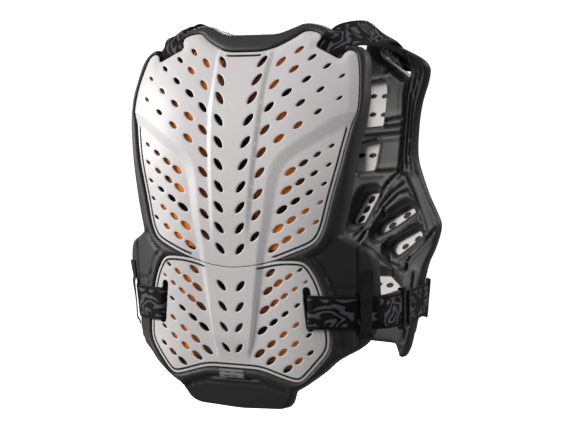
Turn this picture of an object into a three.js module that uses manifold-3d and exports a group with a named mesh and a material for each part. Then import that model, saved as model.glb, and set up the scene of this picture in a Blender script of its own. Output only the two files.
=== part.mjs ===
// A roost deflector: a pierced back shell in two plates on moulded foam, a windowed
// chest pad behind its own plate, two shoulder straps and two waist straps.
// Millimetres, x to the wearer's right, y to the front, z up. The group's zero is
// the mount: midway between the undersides of the shoulder straps at their top.
import * as THREE from 'three';
import { mergeGeometries, mergeVertices } from 'three/addons/utils/BufferGeometryUtils.js';
import Module from 'manifold-3d';

const wasm = await Module();
wasm.setup();

// Driving sizes.
const gap = 0.3;            // between pieces that lie on one another
const plateThick = 2.6;     // the white shells
const foamThick = 6;        // the orange foam under the back shells
const padThick = 12;        // the black moulded pads
const rimRise = 3.4;        // how far the back pad's rim stands above its bed
const spineRise = 1.6;      // how far the middle of the back shell stands proud
const strapWidth = 37;      // elastic of the shoulders and the waist
const strapThick = 2;
const webThick = 1.6;       // keepers on the wings
const webWidth = 13;
const leastHole = 10.2;     // shorter vents are left to the render
const columns = [0, 58, 92, 115, 134, 150, 165, 180];
const rowStep = 32;
const rowCount = 8;         // above and below the zero
const zero = { y: 15, z: 219 };

// How far the outside of the back lies from the zero, by height.
const spine = [
  { z: -240, y: -82 }, { z: -208, y: -98 }, { z: -180, y: -106 }, { z: -143, y: -109.6 },
  { z: -74, y: -111.8 }, { z: -20, y: -113.6 }, { z: 35, y: -112.2 }, { z: 83, y: -108.2 },
  { z: 133, y: -99.8 }, { z: 173, y: -86 }, { z: 195, y: -76 }, { z: 225, y: -57 },
];

// The same for the inside of the chest pad.
const chest = [
  { z: -200, y: 108 }, { z: -150, y: 118 }, { z: -60, y: 127 }, { z: 20, y: 130 },
  { z: 120, y: 130 }, { z: 160, y: 126 }, { z: 172, y: 121 }, { z: 184, y: 111 },
  { z: 190, y: 104 }, { z: 200, y: 91 }, { z: 225, y: 58 },
];

// How the back bends forward at the sides: little at the shoulders, more at the waist,
// with the wings tucked in below.
const bend = { from: 55, reach: 65, power: 2.2, upper: 6, waist: 11.5, tuckFrom: 125, tuck: 15 };
const chestBend = { reach: 150, depth: 38 };

// Half outlines seen from behind, from the middle of the top to the middle of the bottom.
const upperEdge = [
  { x: 0, z: 183.3 }, { x: 25.5, z: 183.5 }, { x: 44, z: 191 }, { x: 60, z: 199.5 },
  { x: 67, z: 205 }, { x: 75, z: 206 }, { x: 84, z: 204 }, { x: 92, z: 200.5 }, { x: 86.5, z: 188.6 },
  { x: 120, z: 173.1 }, { x: 123, z: 181 }, { x: 129, z: 183.7 }, { x: 136, z: 181 },
  { x: 139.5, z: 173 }, { x: 145, z: 150 }, { x: 147.5, z: 118 }, { x: 142, z: 107 },
  { x: 132, z: 61 }, { x: 121, z: 22.5 }, { x: 113.5, z: -8 }, { x: 107, z: -21 },
  { x: 98, z: -28 }, { x: 60, z: -43 }, { x: 30, z: -49.5 }, { x: 0, z: -53.3 },
];
const lowerEdge = [
  { x: 0, z: -54.6 }, { x: 30, z: -50.8 }, { x: 61, z: -44.2 }, { x: 88, z: -43.6 },
  { x: 96, z: -48 }, { x: 105, z: -62 }, { x: 111.5, z: -80 }, { x: 117.5, z: -118 },
  { x: 118.5, z: -132 }, { x: 115.5, z: -144 }, { x: 92, z: -171 }, { x: 84, z: -177 },
  { x: 74, z: -176.5 }, { x: 35, z: -165.5 }, { x: 0, z: -165.5 },
];
const upperFoamEdge = [
  { x: 0, z: 172 }, { x: 26, z: 173 }, { x: 60, z: 187 }, { x: 70, z: 190 }, { x: 80, z: 177 },
  { x: 116, z: 160 }, { x: 131, z: 165 }, { x: 138, z: 148 }, { x: 139, z: 120 }, { x: 124, z: 62 },
  { x: 112, z: 22 }, { x: 104, z: -8 }, { x: 95, z: -18 }, { x: 58, z: -33 }, { x: 0, z: -43 },
];
const lowerFoamEdge = [
  { x: 0, z: -64 }, { x: 60, z: -54 }, { x: 84, z: -53 }, { x: 96, z: -64 }, { x: 102, z: -82 },
  { x: 108, z: -118 }, { x: 107, z: -138 }, { x: 84, z: -165 }, { x: 76, z: -166 },
  { x: 37, z: -156 }, { x: 0, z: -156 },
];
const backPadEdge = [
  { x: 0, z: 202.5 }, { x: 35, z: 202.7 }, { x: 52, z: 209 }, { x: 63, z: 214 },
  { x: 73, z: 214 }, { x: 86, z: 210.3 }, { x: 98.5, z: 204.5 }, { x: 91, z: 196 }, { x: 121, z: 182 },
  { x: 126, z: 187.5 }, { x: 134, z: 187 }, { x: 143, z: 180 }, { x: 147.5, z: 170 },
  { x: 152.5, z: 132 }, { x: 151, z: 108 }, { x: 142.5, z: 68 }, { x: 133, z: 12 },
  { x: 126, z: -17 }, { x: 139, z: -26.5 }, { x: 153, z: -31.5 }, { x: 159, z: -40 },
  { x: 160.5, z: -52 }, { x: 156.5, z: -98 }, { x: 151.5, z: -126 }, { x: 143, z: -138 },
  { x: 121, z: -151.5 }, { x: 107.5, z: -165 }, { x: 83.5, z: -182 }, { x: 72.5, z: -187.5 },
  { x: 66.5, z: -202 }, { x: 57, z: -208.5 }, { x: 0, z: -211.5 },
];
const chestPadEdge = [
  { x: 0, z: 160 }, { x: 24, z: 162 }, { x: 37, z: 172 }, { x: 45, z: 188 },
  { x: 59, z: 200 }, { x: 75, z: 204.5 }, { x: 101, z: 192 }, { x: 118, z: 183.5 },
  { x: 129, z: 177.5 }, { x: 133.5, z: 169 }, { x: 127.5, z: 151.7 }, { x: 117, z: 133.7 },
  { x: 111, z: 113 }, { x: 107.5, z: 83 }, { x: 108, z: 64 }, { x: 113.5, z: 49 },
  { x: 127.5, z: 21 }, { x: 146.5, z: -5 }, { x: 149.5, z: -13 }, { x: 147.5, z: -23 },
  { x: 139.5, z: -41.4 }, { x: 125.5, z: -63 }, { x: 119, z: -90 }, { x: 112.5, z: -130 },
  { x: 108, z: -154 }, { x: 102.5, z: -166.5 }, { x: 96.5, z: -169.5 }, { x: 90, z: -161 },
  { x: 86, z: -153.5 }, { x: 0, z: -153 },
];
const chestPlateEdge = [
  { x: 0, z: 154 }, { x: 26, z: 156 }, { x: 42, z: 168 }, { x: 51, z: 184 },
  { x: 65, z: 195 }, { x: 76, z: 198 }, { x: 99, z: 187 }, { x: 115, z: 178 },
  { x: 123, z: 172 }, { x: 125.5, z: 164 }, { x: 112, z: 136 }, { x: 104.5, z: 113 },
  { x: 101, z: 83 }, { x: 101.5, z: 62 }, { x: 107, z: 45 }, { x: 121, z: 18 },
  { x: 137, z: -2 }, { x: 142, z: -13 }, { x: 136, z: -40 }, { x: 126, z: -62 },
  { x: 119.5, z: -90 }, { x: 113.5, z: -125 }, { x: 110, z: -142 }, { x: 101, z: -147 },
  { x: 0, z: -147 },
];

// The raised middle of the back shell, half outline, and its run over the lower plate.
const upperCrest = [
  { x: 0, z: 176 }, { x: 33, z: 178 }, { x: 66, z: 199 }, { x: 82, z: 181 }, { x: 116, z: 165 },
  { x: 131, z: 172 }, { x: 139, z: 150 }, { x: 139, z: 116 }, { x: 125, z: 113 }, { x: 99, z: 96 },
  { x: 73, z: 81 }, { x: 58, z: 70 }, { x: 50, z: 56 }, { x: 46, z: 40 }, { x: 41.5, z: -2 },
  { x: 36, z: -30 }, { x: 34, z: -46 }, { x: 0, z: -51 },
];
const lowerCrest = [
  { x: 0, z: -57 }, { x: 33, z: -53 }, { x: 30, z: -80 }, { x: 24, z: -122 }, { x: 17, z: -150 },
  { x: 0, z: -158 },
];

// Vents run in rows: where a row starts and ends, how many it has, how long its first
// and last are. All lie along the row's own slope on one side and are mirrored.
const upperVents = [
  { x: 26, z: 172.8, toX: 21.5, toZ: 132.8, count: 3, long: 14.5, toLong: 15.5, lean: 50 },
  { x: 19.6, z: 108.6, toX: 14.6, toZ: 35.3, count: 4, long: 15.5, toLong: 15, lean: 47 },
  { x: 14, z: 12.7, toX: 13, toZ: -33, count: 3, long: 15, toLong: 14.5, lean: 45 },
  { x: 49.3, z: 172.2, toX: 38.2, toZ: 73, count: 5, long: 13, toLong: 14.5, lean: 42 },
  { x: 37.4, z: 51, toX: 32.6, toZ: -18.6, count: 4, long: 14.5, toLong: 14, lean: 42 },
  { x: 69.4, z: 184.8, toX: 69.4, toZ: 184.8, count: 1, long: 11, toLong: 11, lean: 35 },
  { x: 67.8, z: 163.9, toX: 87.3, toZ: 176.4, count: 2, long: 12, toLong: 10, lean: 33 },
  { x: 64.2, z: 138.3, toX: 107.1, toZ: 166.6, count: 3, long: 13, toLong: 9, lean: 33 },
  { x: 61.3, z: 112.6, toX: 126, toZ: 155.6, count: 4, long: 14, toLong: 7, lean: 33 },
  { x: 60, z: 88.3, toX: 127, toZ: 131.8, count: 4, long: 14, toLong: 7, lean: 33 },
  { x: 74.5, z: 52.8, toX: 121.3, toZ: 80.7, count: 4, long: 14, toLong: 7, lean: 31 },
  { x: 70.6, z: 32.5, toX: 119, toZ: 60.5, count: 4, long: 14.5, toLong: 7, lean: 31 },
  { x: 65.2, z: 11.4, toX: 114, toZ: 40, count: 4, long: 14.5, toLong: 7, lean: 31 },
  { x: 60.7, z: -9.2, toX: 110, toZ: 19.8, count: 4, long: 14.5, toLong: 7, lean: 31 },
  { x: 54.7, z: -30.8, toX: 105, toZ: -1.4, count: 4, long: 15, toLong: 7.5, lean: 31 },
];
const lowerVents = [
  { x: 12.5, z: -74, toX: 8.6, toZ: -143.1, count: 4, long: 14, toLong: 12, lean: 45 },
  { x: 50.2, z: -58, toX: 50.2, toZ: -58, count: 1, long: 13, toLong: 13, lean: 33 },
  { x: 60, z: -68.8, toX: 86.4, toZ: -53.6, count: 3, long: 12.5, toLong: 7, lean: 33 },
  { x: 46.5, z: -77.8, toX: 46.5, toZ: -77.8, count: 1, long: 13.5, toLong: 13.5, lean: 33 },
  { x: 41.8, z: -98.9, toX: 93, toZ: -66.4, count: 5, long: 14, toLong: 5.5, lean: 33 },
  { x: 38.6, z: -121.8, toX: 82.6, toZ: -92.2, count: 4, long: 14, toLong: 7.5, lean: 33 },
  { x: 34.4, z: -147.4, toX: 81.3, toZ: -113.6, count: 4, long: 14.5, toLong: 8.5, lean: 34 },
  { x: 48.8, z: -154.6, toX: 95.4, toZ: -124.2, count: 4, long: 14, toLong: 7.5, lean: 34 },
  { x: 69.7, z: -162.4, toX: 96.8, toZ: -143.4, count: 3, long: 13, toLong: 8.5, lean: 34 },
];
const chestVents = [
  { x: 35, z: 13, toX: 20, toZ: -11, count: 3, long: 10.4, toLong: 10.4, lean: 40 },
  { x: 67, z: -17, toX: 90, toZ: -4, count: 2, long: 10.4, toLong: 10.4, lean: 30 },
];
const ventShape = 0.46;     // a vent's width for its length

// Windows of the chest pad, one side.
const windows = [
  [{ x: 16, z: 150 }, { x: 63, z: 156 }, { x: 66, z: 148 }, { x: 59, z: 102 }, { x: 14, z: 98 }],
  [{ x: 12, z: 78 }, { x: 51, z: 86 }, { x: 53, z: 80 }, { x: 46, z: 49 }, { x: 11, z: 45 }],
  [{ x: 36, z: 20 }, { x: 49, z: 22 }, { x: 26.5, z: -15 }, { x: 13.5, z: -16 }],
  [{ x: 49, z: -29 }, { x: 56, z: -19 }, { x: 72, z: -9 }, { x: 104, z: 6 }, { x: 106, z: 1 },
    { x: 76, z: -16 }],
  [{ x: 72, z: -46 }, { x: 77, z: -38 }, { x: 116, z: -20.5 }, { x: 118.5, z: -26 }, { x: 78, z: -52 }],
  [{ x: 36, z: -78 }, { x: 68, z: -77 }, { x: 86, z: -90.5 }, { x: 55, z: -100.5 }, { x: 34, z: -100 }],
];

// Slots: middle, length, width and how far they lean.
const waistSlot = { x: 95.2, z: -96, long: 49, wide: 9.6, lean: 96 };
const chestSlot = { x: 83, z: 175, long: strapWidth + 3, wide: 9.5, lean: -34.6 };

// A shoulder strap's middle line from under the back plate, over the shoulder and the top
// of the chest pad, in through the slot and back up under the pad's edge. `lean` is how far
// its outer edge hangs below its inner one, in degrees, and `bed` a depth under the back's
// outside. Between the pads the left strap stands higher and twists: `left` has its own places.
const shoulderRun = [
  { x: 98, z: 170, bed: 5.2, lean: 24 }, { x: 103.3, z: 180.9, bed: 5.2, lean: 24 },
  { x: 105.3, y: -70.5, z: 187.5, lean: 24 },
  { x: 106, y: -58, z: 194.5, lean: 28, left: { x: 108, z: 200, lean: 28 } },
  { x: 105.5, y: -38, z: 201.5, lean: 38, left: { x: 109, z: 209.5, lean: 22 } },
  { x: 103.5, y: -12, z: 204.5, lean: 47, left: { x: 108, z: 214.5, lean: 2 } },
  { x: 100.5, y: 14, z: 206.5, lean: 49, left: { x: 104, z: 216, lean: -12 } },
  { x: 96, y: 38, z: 208, lean: 46, left: { x: 98, z: 214, lean: 2 } },
  { x: 90.5, y: 60, z: 209, lean: 39, left: { x: 91.5, z: 210.5, lean: 18 } },
  { x: 86, y: 76, z: 207.5, lean: 33, left: { x: 86.5, z: 208, lean: 26 } },
  { x: 84, y: 86, z: 205.8, lean: 28 }, { x: 83.4, y: 96.5, z: 201.6, lean: 28 },
  { x: 83.2, y: 104.6, z: 195, lean: 28 }, { x: 83.2, y: 114, z: 187.4, lean: 30 },
  { x: 83.4, y: 123, z: 181.4, lean: 33 }, { x: 83.6, y: 126.4, z: 178.8, lean: 34.6 },
  { x: 83.8, y: 123, z: 176.4, lean: 34.6 }, { x: 83.8, y: 108, z: 176.2, lean: 34.6 },
  { x: 83.6, y: 104, z: 178.4, lean: 34.6 }, { x: 83.4, y: 97.6, z: 184, lean: 33 },
  { x: 83.2, y: 90.6, z: 189.2, lean: 32 },
];

// The right waist strap's middle line at its own height: from behind the foam out through
// the slot of the lower plate, over the wing, through the slider and round to the hook.
// `over` is a height above the chest plate.
const waistHeight = -99;
const waistRun = [
  { x: 94.4, bed: plateThick + 2 * gap + foamThick + 2 }, { x: 95.2, bed: 1.5 }, { x: 98.5, bed: -1.9 },
  { x: 112, bed: -1.9 }, { x: 126, bed: -1.9 }, { x: 138, bed: -1.9 }, { x: 148, bed: -1.9 },
  { x: 155, bed: -1.9 }, { x: 160.5, bed: -2.6 }, { x: 164.2, y: -52 }, { x: 163.8, y: -36 },
  { x: 161, y: -16 }, { x: 152.4, y: 22 }, { x: 145.5, y: 45 }, { x: 137.6, y: 70 },
  { x: 131, y: 90 }, { x: 126.8, over: -4.4 }, { x: 123, over: 3.4 }, { x: 116.8, over: 6.1 },
  { x: 107.8, over: 7.1 },
];
const slider = { at: 11, share: 0.25, half: 12, bar: 4, thick: 3, reach: strapWidth / 2 + 1.2, rail: 3.6 };
const hook = {
  half: 9.5, thick: 3, rail: 3.6, bar: 4, tongue: 9, peg: 3, pegOut: 20, pegLong: 7, pegDeep: 2,
};
const keeper = { x: 156, top: -53, bottom: -127, step: 9, inwards: 0.06 };
const rivet = { x: 94.4, z: -62.7, head: 4.6, headThick: 1.2, shank: 2, seat: 0.45 };
const label = { x: -2, z: -171.8, wide: 27, tall: 9, thick: 0.8 };

// Reads a table by height, smoothly.
function profile(table, z) {
  let i = 1;
  while (i < table.length - 2 && z > table[i + 1].z) i += 1;
  if (z < table[1].z) i = 0;
  const at = (k) => table[Math.max(0, Math.min(table.length - 1, k))];
  const slope = (k) => (at(k + 1).y - at(k - 1).y) / (at(k + 1).z - at(k - 1).z);
  const [a, b] = [at(i), at(i + 1)];
  const span = b.z - a.z;
  const t = (z - a.z) / span;
  const [t2, t3] = [t * t, t * t * t];
  return (2 * t3 - 3 * t2 + 1) * a.y + (t3 - 2 * t2 + t) * span * slope(i)
    + (3 * t2 - 2 * t3) * b.y + (t3 - t2) * span * slope(i + 1);
}

const ease = THREE.MathUtils.smoothstep;

// The outside of the back shells, and of the inside of the chest pad.
function backSkin(x, z) {
  const out = Math.abs(x);
  const low = 1 - ease(z, -40, 80);
  const round = (bend.upper + (bend.waist - bend.upper) * low)
    * (Math.max(0, out - bend.from) / bend.reach) ** bend.power;
  const tuck = bend.tuck * (1 - ease(z, -115, -50)) * (Math.max(0, out - bend.tuckFrom) / 33) ** 2;
  return profile(spine, z) + round + tuck;
}
function chestSkin(x, z) {
  return profile(chest, z) - chestBend.depth * (x / chestBend.reach) ** 2;
}

// Between three.js and manifold.
function solid(geometry) {
  const bare = geometry.clone();
  bare.deleteAttribute('normal');
  bare.deleteAttribute('uv');
  const whole = mergeVertices(bare, 1e-4);
  return new wasm.Manifold(new wasm.Mesh({
    numProp: 3,
    vertProperties: new Float32Array(whole.attributes.position.array),
    triVerts: new Uint32Array(whole.index.array),
  }));
}
function geometryOf(body) {
  const mesh = body.getMesh();
  const geometry = new THREE.BufferGeometry();
  geometry.setAttribute('position', new THREE.BufferAttribute(new Float32Array(mesh.vertProperties), 3));
  geometry.setIndex(new THREE.BufferAttribute(new Uint32Array(mesh.triVerts), 1));
  return geometry;
}
function surfaceFrom(points, faces) {
  const geometry = new THREE.BufferGeometry();
  geometry.setAttribute('position', new THREE.BufferAttribute(new Float32Array(points.flat()), 3));
  geometry.setIndex(faces.flat());
  return geometry;
}
function mirrored(geometry) {
  const other = geometry.clone().scale(-1, 1, 1);
  const index = other.index.array;
  for (let i = 0; i < index.length; i += 3) [index[i], index[i + 1]] = [index[i + 1], index[i]];
  return other;
}

// A full outline from its half, grown outwards by `grow`.
function ring(half, grow = 0) {
  const left = half.filter((p) => p.x > 0).reverse().map((p) => ({ x: -p.x, z: p.z }));
  const whole = [...half, ...left].map((p) => new THREE.Vector2(p.x, p.z));
  return grown(whole, grow);
}
function grown(points, grow) {
  if (!grow) return points;
  const turn = THREE.ShapeUtils.isClockWise(points) ? 1 : -1;
  return points.map((p, i) => {
    const before = points[(i + points.length - 1) % points.length];
    const after = points[(i + 1) % points.length];
    const a = p.clone().sub(before).normalize();
    const b = after.clone().sub(p).normalize();
    const out = new THREE.Vector2(-a.y - b.y, a.x + b.x).multiplyScalar(turn).normalize();
    const side = new THREE.Vector2(-a.y, a.x).multiplyScalar(turn);
    return p.clone().addScaledVector(out, grow / Math.max(0.55, out.dot(side)));
  });
}

// A prism through the body along y, from an outline seen from behind.
const depth = 400;
function prism(points) {
  const shape = new THREE.Shape(points);
  return new THREE.ExtrudeGeometry(shape, { depth, bevelEnabled: false })
    .translate(0, 0, -depth / 2).rotateX(Math.PI / 2);
}
function oval(x, z, long, wide, lean, segments = 3) {
  const shape = new THREE.Shape().absellipse(x, z, long / 2, wide / 2, 0, 2 * Math.PI, false, lean * Math.PI / 180);
  return new THREE.ExtrudeGeometry(shape, { depth, bevelEnabled: false, curveSegments: segments })
    .translate(0, 0, -depth / 2).rotateX(Math.PI / 2);
}
function slotPoints({ x, z, long, wide, lean }, grow = 0) {
  const points = [];
  const r = wide / 2 + grow;
  for (const [end, start] of [[1, -90], [-1, 90]]) {
    for (let k = 0; k <= 3; k += 1) {
      const a = (start + k * 60) * Math.PI / 180;
      points.push(new THREE.Vector2(end * (long - wide) / 2 + r * Math.cos(a), r * Math.sin(a)));
    }
  }
  const spin = lean * Math.PI / 180;
  return points.map((p) => p.rotateAround(new THREE.Vector2(), spin).add(new THREE.Vector2(x, z)));
}
const bothSides = (points) => [points, points.map((p) => new THREE.Vector2(-p.x, p.y)).reverse()];

// The skin as its grid draws it.
function faceted(skin, x, z) {
  const out = Math.min(Math.abs(x), columns.at(-1) - 0.01);
  const i = columns.findIndex((edge) => edge > out) - 1;
  const j = Math.floor(z / rowStep);
  const u = (out - columns[i]) / (columns[i + 1] - columns[i]);
  const v = z / rowStep - j;
  const at = (p, q) => skin(columns[i + p], (j + q) * rowStep);
  return u > v ? at(0, 0) + u * (at(1, 0) - at(0, 0)) + v * (at(1, 1) - at(1, 0))
    : at(0, 0) + v * (at(0, 1) - at(0, 0)) + u * (at(1, 1) - at(0, 1));
}

// A slab between two depths under a skin, on one grid for all of them, so that slabs
// laid on one another never cut each other.
function slab(skin, from, to) {
  const xs = [...columns.slice(1).map((x) => -x).reverse(), ...columns];
  const zs = Array.from({ length: 2 * rowCount + 1 }, (_, j) => (j - rowCount) * rowStep);
  const points = [];
  const faces = [];
  for (const lift of [from, to]) {
    for (const z of zs) for (const x of xs) points.push([x, skin(x, z) + lift, z]);
  }
  const id = (side, i, j) => (side * zs.length + j) * xs.length + i;
  const [lastX, lastZ] = [xs.length - 1, zs.length - 1];
  const quad = (a, b, c, d) => faces.push([a, b, c], [a, c, d]);
  for (let j = 0; j < lastZ; j += 1) {
    for (let i = 0; i < lastX; i += 1) {
      for (const side of [0, 1]) {
        const [a, b, c, d] = [[i, j], [i + 1, j], [i + 1, j + 1], [i, j + 1]].map(([u, v]) => id(side, u, v));
        if (xs[i] >= 0) quad(...(side ? [a, d, c, b] : [a, b, c, d])); // diagonals mirror too
        else quad(...(side ? [b, a, d, c] : [b, c, d, a]));
      }
    }
  }
  for (let i = 0; i < lastX; i += 1) {
    quad(id(1, i, 0), id(1, i + 1, 0), id(0, i + 1, 0), id(0, i, 0));
    quad(id(0, i, lastZ), id(0, i + 1, lastZ), id(1, i + 1, lastZ), id(1, i, lastZ));
  }
  for (let j = 0; j < lastZ; j += 1) {
    quad(id(0, 0, j), id(0, 0, j + 1), id(1, 0, j + 1), id(1, 0, j));
    quad(id(1, lastX, j), id(1, lastX, j + 1), id(0, lastX, j + 1), id(0, lastX, j));
  }
  return solid(surfaceFrom(points, faces));
}
const cut = (skin, from, to, points) => slab(skin, from, to).intersect(solid(prism(points)));

// Every vent of a table on both sides, from a length up, as one cutter.
function ventCutter(table, least = 0) {
  const cutters = [];
  for (const row of table) {
    for (let k = 0; k < row.count; k += 1) {
      const t = row.count > 1 ? k / (row.count - 1) : 0;
      const x = row.x + (row.toX - row.x) * t;
      const z = row.z + (row.toZ - row.z) * t;
      const long = row.long + (row.toLong - row.long) * t;
      if (long < least) continue;
      for (const side of [1, -1]) cutters.push(oval(side * x, z, long, long * ventShape, side * row.lean));
    }
  }
  return solid(mergeGeometries(cutters));
}

// A band along a middle line. `across` gives the direction of its width at each point.
function band(line, across, width, thick) {
  const points = [];
  const faces = [];
  const last = line.length - 1;
  line.forEach((p, i) => {
    const before = line[Math.max(0, i - 1)];
    const after = line[Math.min(last, i + 1)];
    const a = (i ? p.clone().sub(before) : after.clone().sub(p)).normalize();
    const b = (i < last ? after.clone().sub(p) : p.clone().sub(before)).normalize();
    const along = a.clone().add(b).normalize();
    const wide = across(i).clone().normalize();
    const out = along.clone().cross(wide).normalize();
    const mitre = 1 / Math.max(0.6, Math.sqrt((1 + a.dot(b)) / 2));
    for (const [u, v] of [[-1, -1], [1, -1], [1, 1], [-1, 1]]) {
      points.push(p.clone().addScaledVector(wide, u * width / 2)
        .addScaledVector(out, v * mitre * thick / 2).toArray());
    }
  });
  for (let i = 0; i < last; i += 1) {
    for (let k = 0; k < 4; k += 1) {
      const [a, b] = [4 * i + k, 4 * i + (k + 1) % 4];
      faces.push([a, b, b + 4], [a, b + 4, a + 4]);
    }
  }
  faces.push([0, 2, 1], [0, 3, 2], [4 * last, 4 * last + 1, 4 * last + 2], [4 * last, 4 * last + 2, 4 * last + 3]);
  const geometry = surfaceFrom(points, faces);
  return solid(geometry).volume() < 0 ? flipped(geometry) : geometry;
}
function flipped(geometry) {
  const index = geometry.index.array;
  for (let i = 0; i < index.length; i += 3) [index[i], index[i + 1]] = [index[i + 1], index[i]];
  return geometry;
}
function block(x0, x1, y0, y1, z0, z1) {
  return new THREE.BoxGeometry(x1 - x0, y1 - y0, z1 - z0)
    .translate((x0 + x1) / 2, (y0 + y1) / 2, (z0 + z1) / 2);
}
const joined = (bodies) => bodies.reduce((sum, body) => sum.add(body));

const matte = (color, roughness, metalness = 0) => new THREE.MeshStandardMaterial({ color, roughness, metalness });
const group = new THREE.Group();
const worn = new THREE.Group();
worn.position.set(0, -zero.y, -zero.z);
group.add(worn);
function piece(name, geometry, material) {
  const mesh = new THREE.Mesh(geometry, material);
  mesh.name = name;
  worn.add(mesh);
  return mesh;
}
function pair(name, geometry, material) {
  piece(`${name}_right`, geometry, material);
  piece(`${name}_left`, mirrored(geometry), material.clone());
}

const padBed = plateThick + gap;

// Straps first, because pads and plates are cut clear of them. Where a strap lies in a
// bed, its width follows the skin.
const onBack = (x, z, bed) => new THREE.Vector3(x, faceted(backSkin, x, z) + bed, z);
function widthOn(x, z, lean) {
  const [u, v] = [Math.cos(lean * Math.PI / 180), -Math.sin(lean * Math.PI / 180)];
  const half = strapWidth / 2;
  const end = (side) => faceted(backSkin, x + side * u * half, z + side * v * half);
  return new THREE.Vector3(u, (end(1) - end(-1)) / strapWidth, v);
}
const leftRun = shoulderRun.map((p) => ({ ...p, ...p.left }));
const shoulderLine = (run) => run.map((p) => (p.bed ? onBack(p.x, p.z, p.bed)
  : new THREE.Vector3(p.x, p.y, p.z)));
const shoulderAcross = (run) => (i) => {
  const { x, z, bed, lean } = run[i];
  const turn = lean * Math.PI / 180;
  return bed ? widthOn(x, z, lean) : new THREE.Vector3(Math.cos(turn), 0, -Math.sin(turn));
};
const plateFace = padThick + gap;
const plateTop = plateFace + plateThick;
const waistLine = waistRun.map(({ x, y, bed, over }) => (bed ? onBack(x, waistHeight, bed)
  : new THREE.Vector3(x, y ?? chestSkin(x, waistHeight) + plateTop + over, waistHeight)));
const upright = new THREE.Vector3(0, 0, 1);
const waistAcross = (i) => (waistRun[i].bed ? widthOn(waistRun[i].x, waistHeight, -90) : upright);
const shoulderStraps = [shoulderRun, leftRun].map((run) => (
  band(shoulderLine(run), shoulderAcross(run), strapWidth, strapThick)));
const waistStrap = band(waistLine, waistAcross, strapWidth, strapThick);
// A keeper stands off the wing where the strap passes, and is sewn down at both ends.
const keeperWidth = (x, z) => new THREE.Vector3(8, faceted(backSkin, x + 4, z) - faceted(backSkin, x - 4, z), 0);
const keeperFloor = padBed - rimRise - gap - webThick / 2;
const keeperOver = -1.9 - strapThick / 2 - gap - webThick / 2;
const keeperLine = [
  [keeper.top, keeperFloor], [waistHeight + strapWidth / 2 + keeper.step, keeperFloor],
  [waistHeight + strapWidth / 2 + 2, keeperOver], [waistHeight, keeperOver - 0.3],
  [waistHeight - strapWidth / 2 - 1.5, keeperOver], [keeper.bottom + 4, keeperFloor], [keeper.bottom, keeperFloor],
].map(([z, lift]) => {
  const x = keeper.x - keeper.inwards * (keeper.top - z);
  const { y: fall } = keeperWidth(x, z);
  return onBack(x, z, lift * Math.hypot(1, fall / 8));
});
const keeperAcross = (i) => keeperWidth(keeperLine[i].x, keeperLine[i].z);
const keeperBand = band(keeperLine, keeperAcross, webWidth, webThick);
const strapRoom = joined([
  ...[shoulderRun, leftRun].map((run) => [shoulderLine(run), shoulderAcross(run), strapWidth, strapThick]),
  [waistLine, waistAcross, strapWidth, strapThick],
  [keeperLine, keeperAcross, webWidth, webThick],
].flatMap(([line, across, width, thick]) => {
  const room = band(line, across, width + 2 * gap, thick + 2 * gap);
  return [solid(room), solid(mirrored(room))];
}));

// The back shell in two plates.
const waistSlots = joined(bothSides(slotPoints(waistSlot)).map((points) => solid(prism(points))));
const upperPlate = cut(backSkin, 0, plateThick, ring(upperEdge))
  .add(cut(backSkin, -spineRise, plateThick / 2, ring(upperCrest)))
  .subtract(ventCutter(upperVents, leastHole)).subtract(strapRoom);
const lowerPlate = cut(backSkin, 0, plateThick, ring(lowerEdge))
  .add(cut(backSkin, -spineRise, plateThick / 2, ring(lowerCrest)))
  .subtract(ventCutter(lowerVents, leastHole)).subtract(waistSlots);

// Foam in a bed of the back pad, whose rim stands round the plates.
const foams = [upperFoamEdge, lowerFoamEdge].map((edge) => cut(
  backSkin, padBed + gap, padBed + gap + foamThick, ring(edge)).subtract(strapRoom));
const foamBeds = joined([upperFoamEdge, lowerFoamEdge].map((edge) => cut(
  backSkin, -20, padBed + foamThick + 2 * gap, ring(edge, gap))));
const plateBeds = joined([upperEdge, lowerEdge].map((edge) => cut(backSkin, -20, padBed, ring(edge, 1))));
const backPad = cut(backSkin, padBed - rimRise, padBed + padThick, ring(backPadEdge))
  .subtract(plateBeds).subtract(foamBeds).subtract(strapRoom);

// Slider and hook, in the frame of the strap where they sit.
function seated(geometry, i, share = 0.5) {
  const [a, b] = [waistLine[i], waistLine[i + 1]];
  const along = b.clone().sub(a).normalize();
  const out = along.clone().cross(upright).normalize();
  const place = new THREE.Matrix4().makeBasis(along.negate(), out, upright);
  return geometry.applyMatrix4(place.setPosition(a.clone().lerp(b, share)));
}

// The chest pad with its windows, and the plate outside it.
const flat = ({ x, z }) => new THREE.Vector2(x, z);
const windowHoles = joined(windows.flatMap((points) => bothSides(points.map(flat)))
  .map((points) => solid(prism(points))));
const chestSlots = joined(bothSides(slotPoints(chestSlot)).map((points) => solid(prism(points))));
const rivetSlope = (chestSkin(rivet.x + 4, rivet.z) - chestSkin(rivet.x - 4, rivet.z)) / 8;
const rivetStack = plateTop * Math.cos(Math.atan(rivetSlope));
const pin = (radius, from, to) => new THREE.CylinderGeometry(radius, radius, to - from, 8)
  .translate(0, (from + to) / 2, 0);
const riveted = (geometry) => solid(geometry.rotateZ(Math.atan(rivetSlope))
  .translate(rivet.x, faceted(chestSkin, rivet.x, rivet.z), rivet.z));
const rivetHole = riveted(pin(rivet.shank + gap, -5, rivetStack + 5));
const pegHole = solid(seated(pin(hook.peg + gap, -30, 0).translate(-hook.pegOut, 0, 0), waistLine.length - 2))
  .intersect(slab(chestSkin, padThick - hook.pegDeep, 60));
const chestHoles = joined([rivetHole, pegHole].flatMap((hole) => [hole, hole.mirror([1, 0, 0])]));
const chestPad = cut(chestSkin, 0, padThick, ring(chestPadEdge))
  .subtract(windowHoles).subtract(chestSlots).subtract(chestHoles).subtract(strapRoom);
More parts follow.
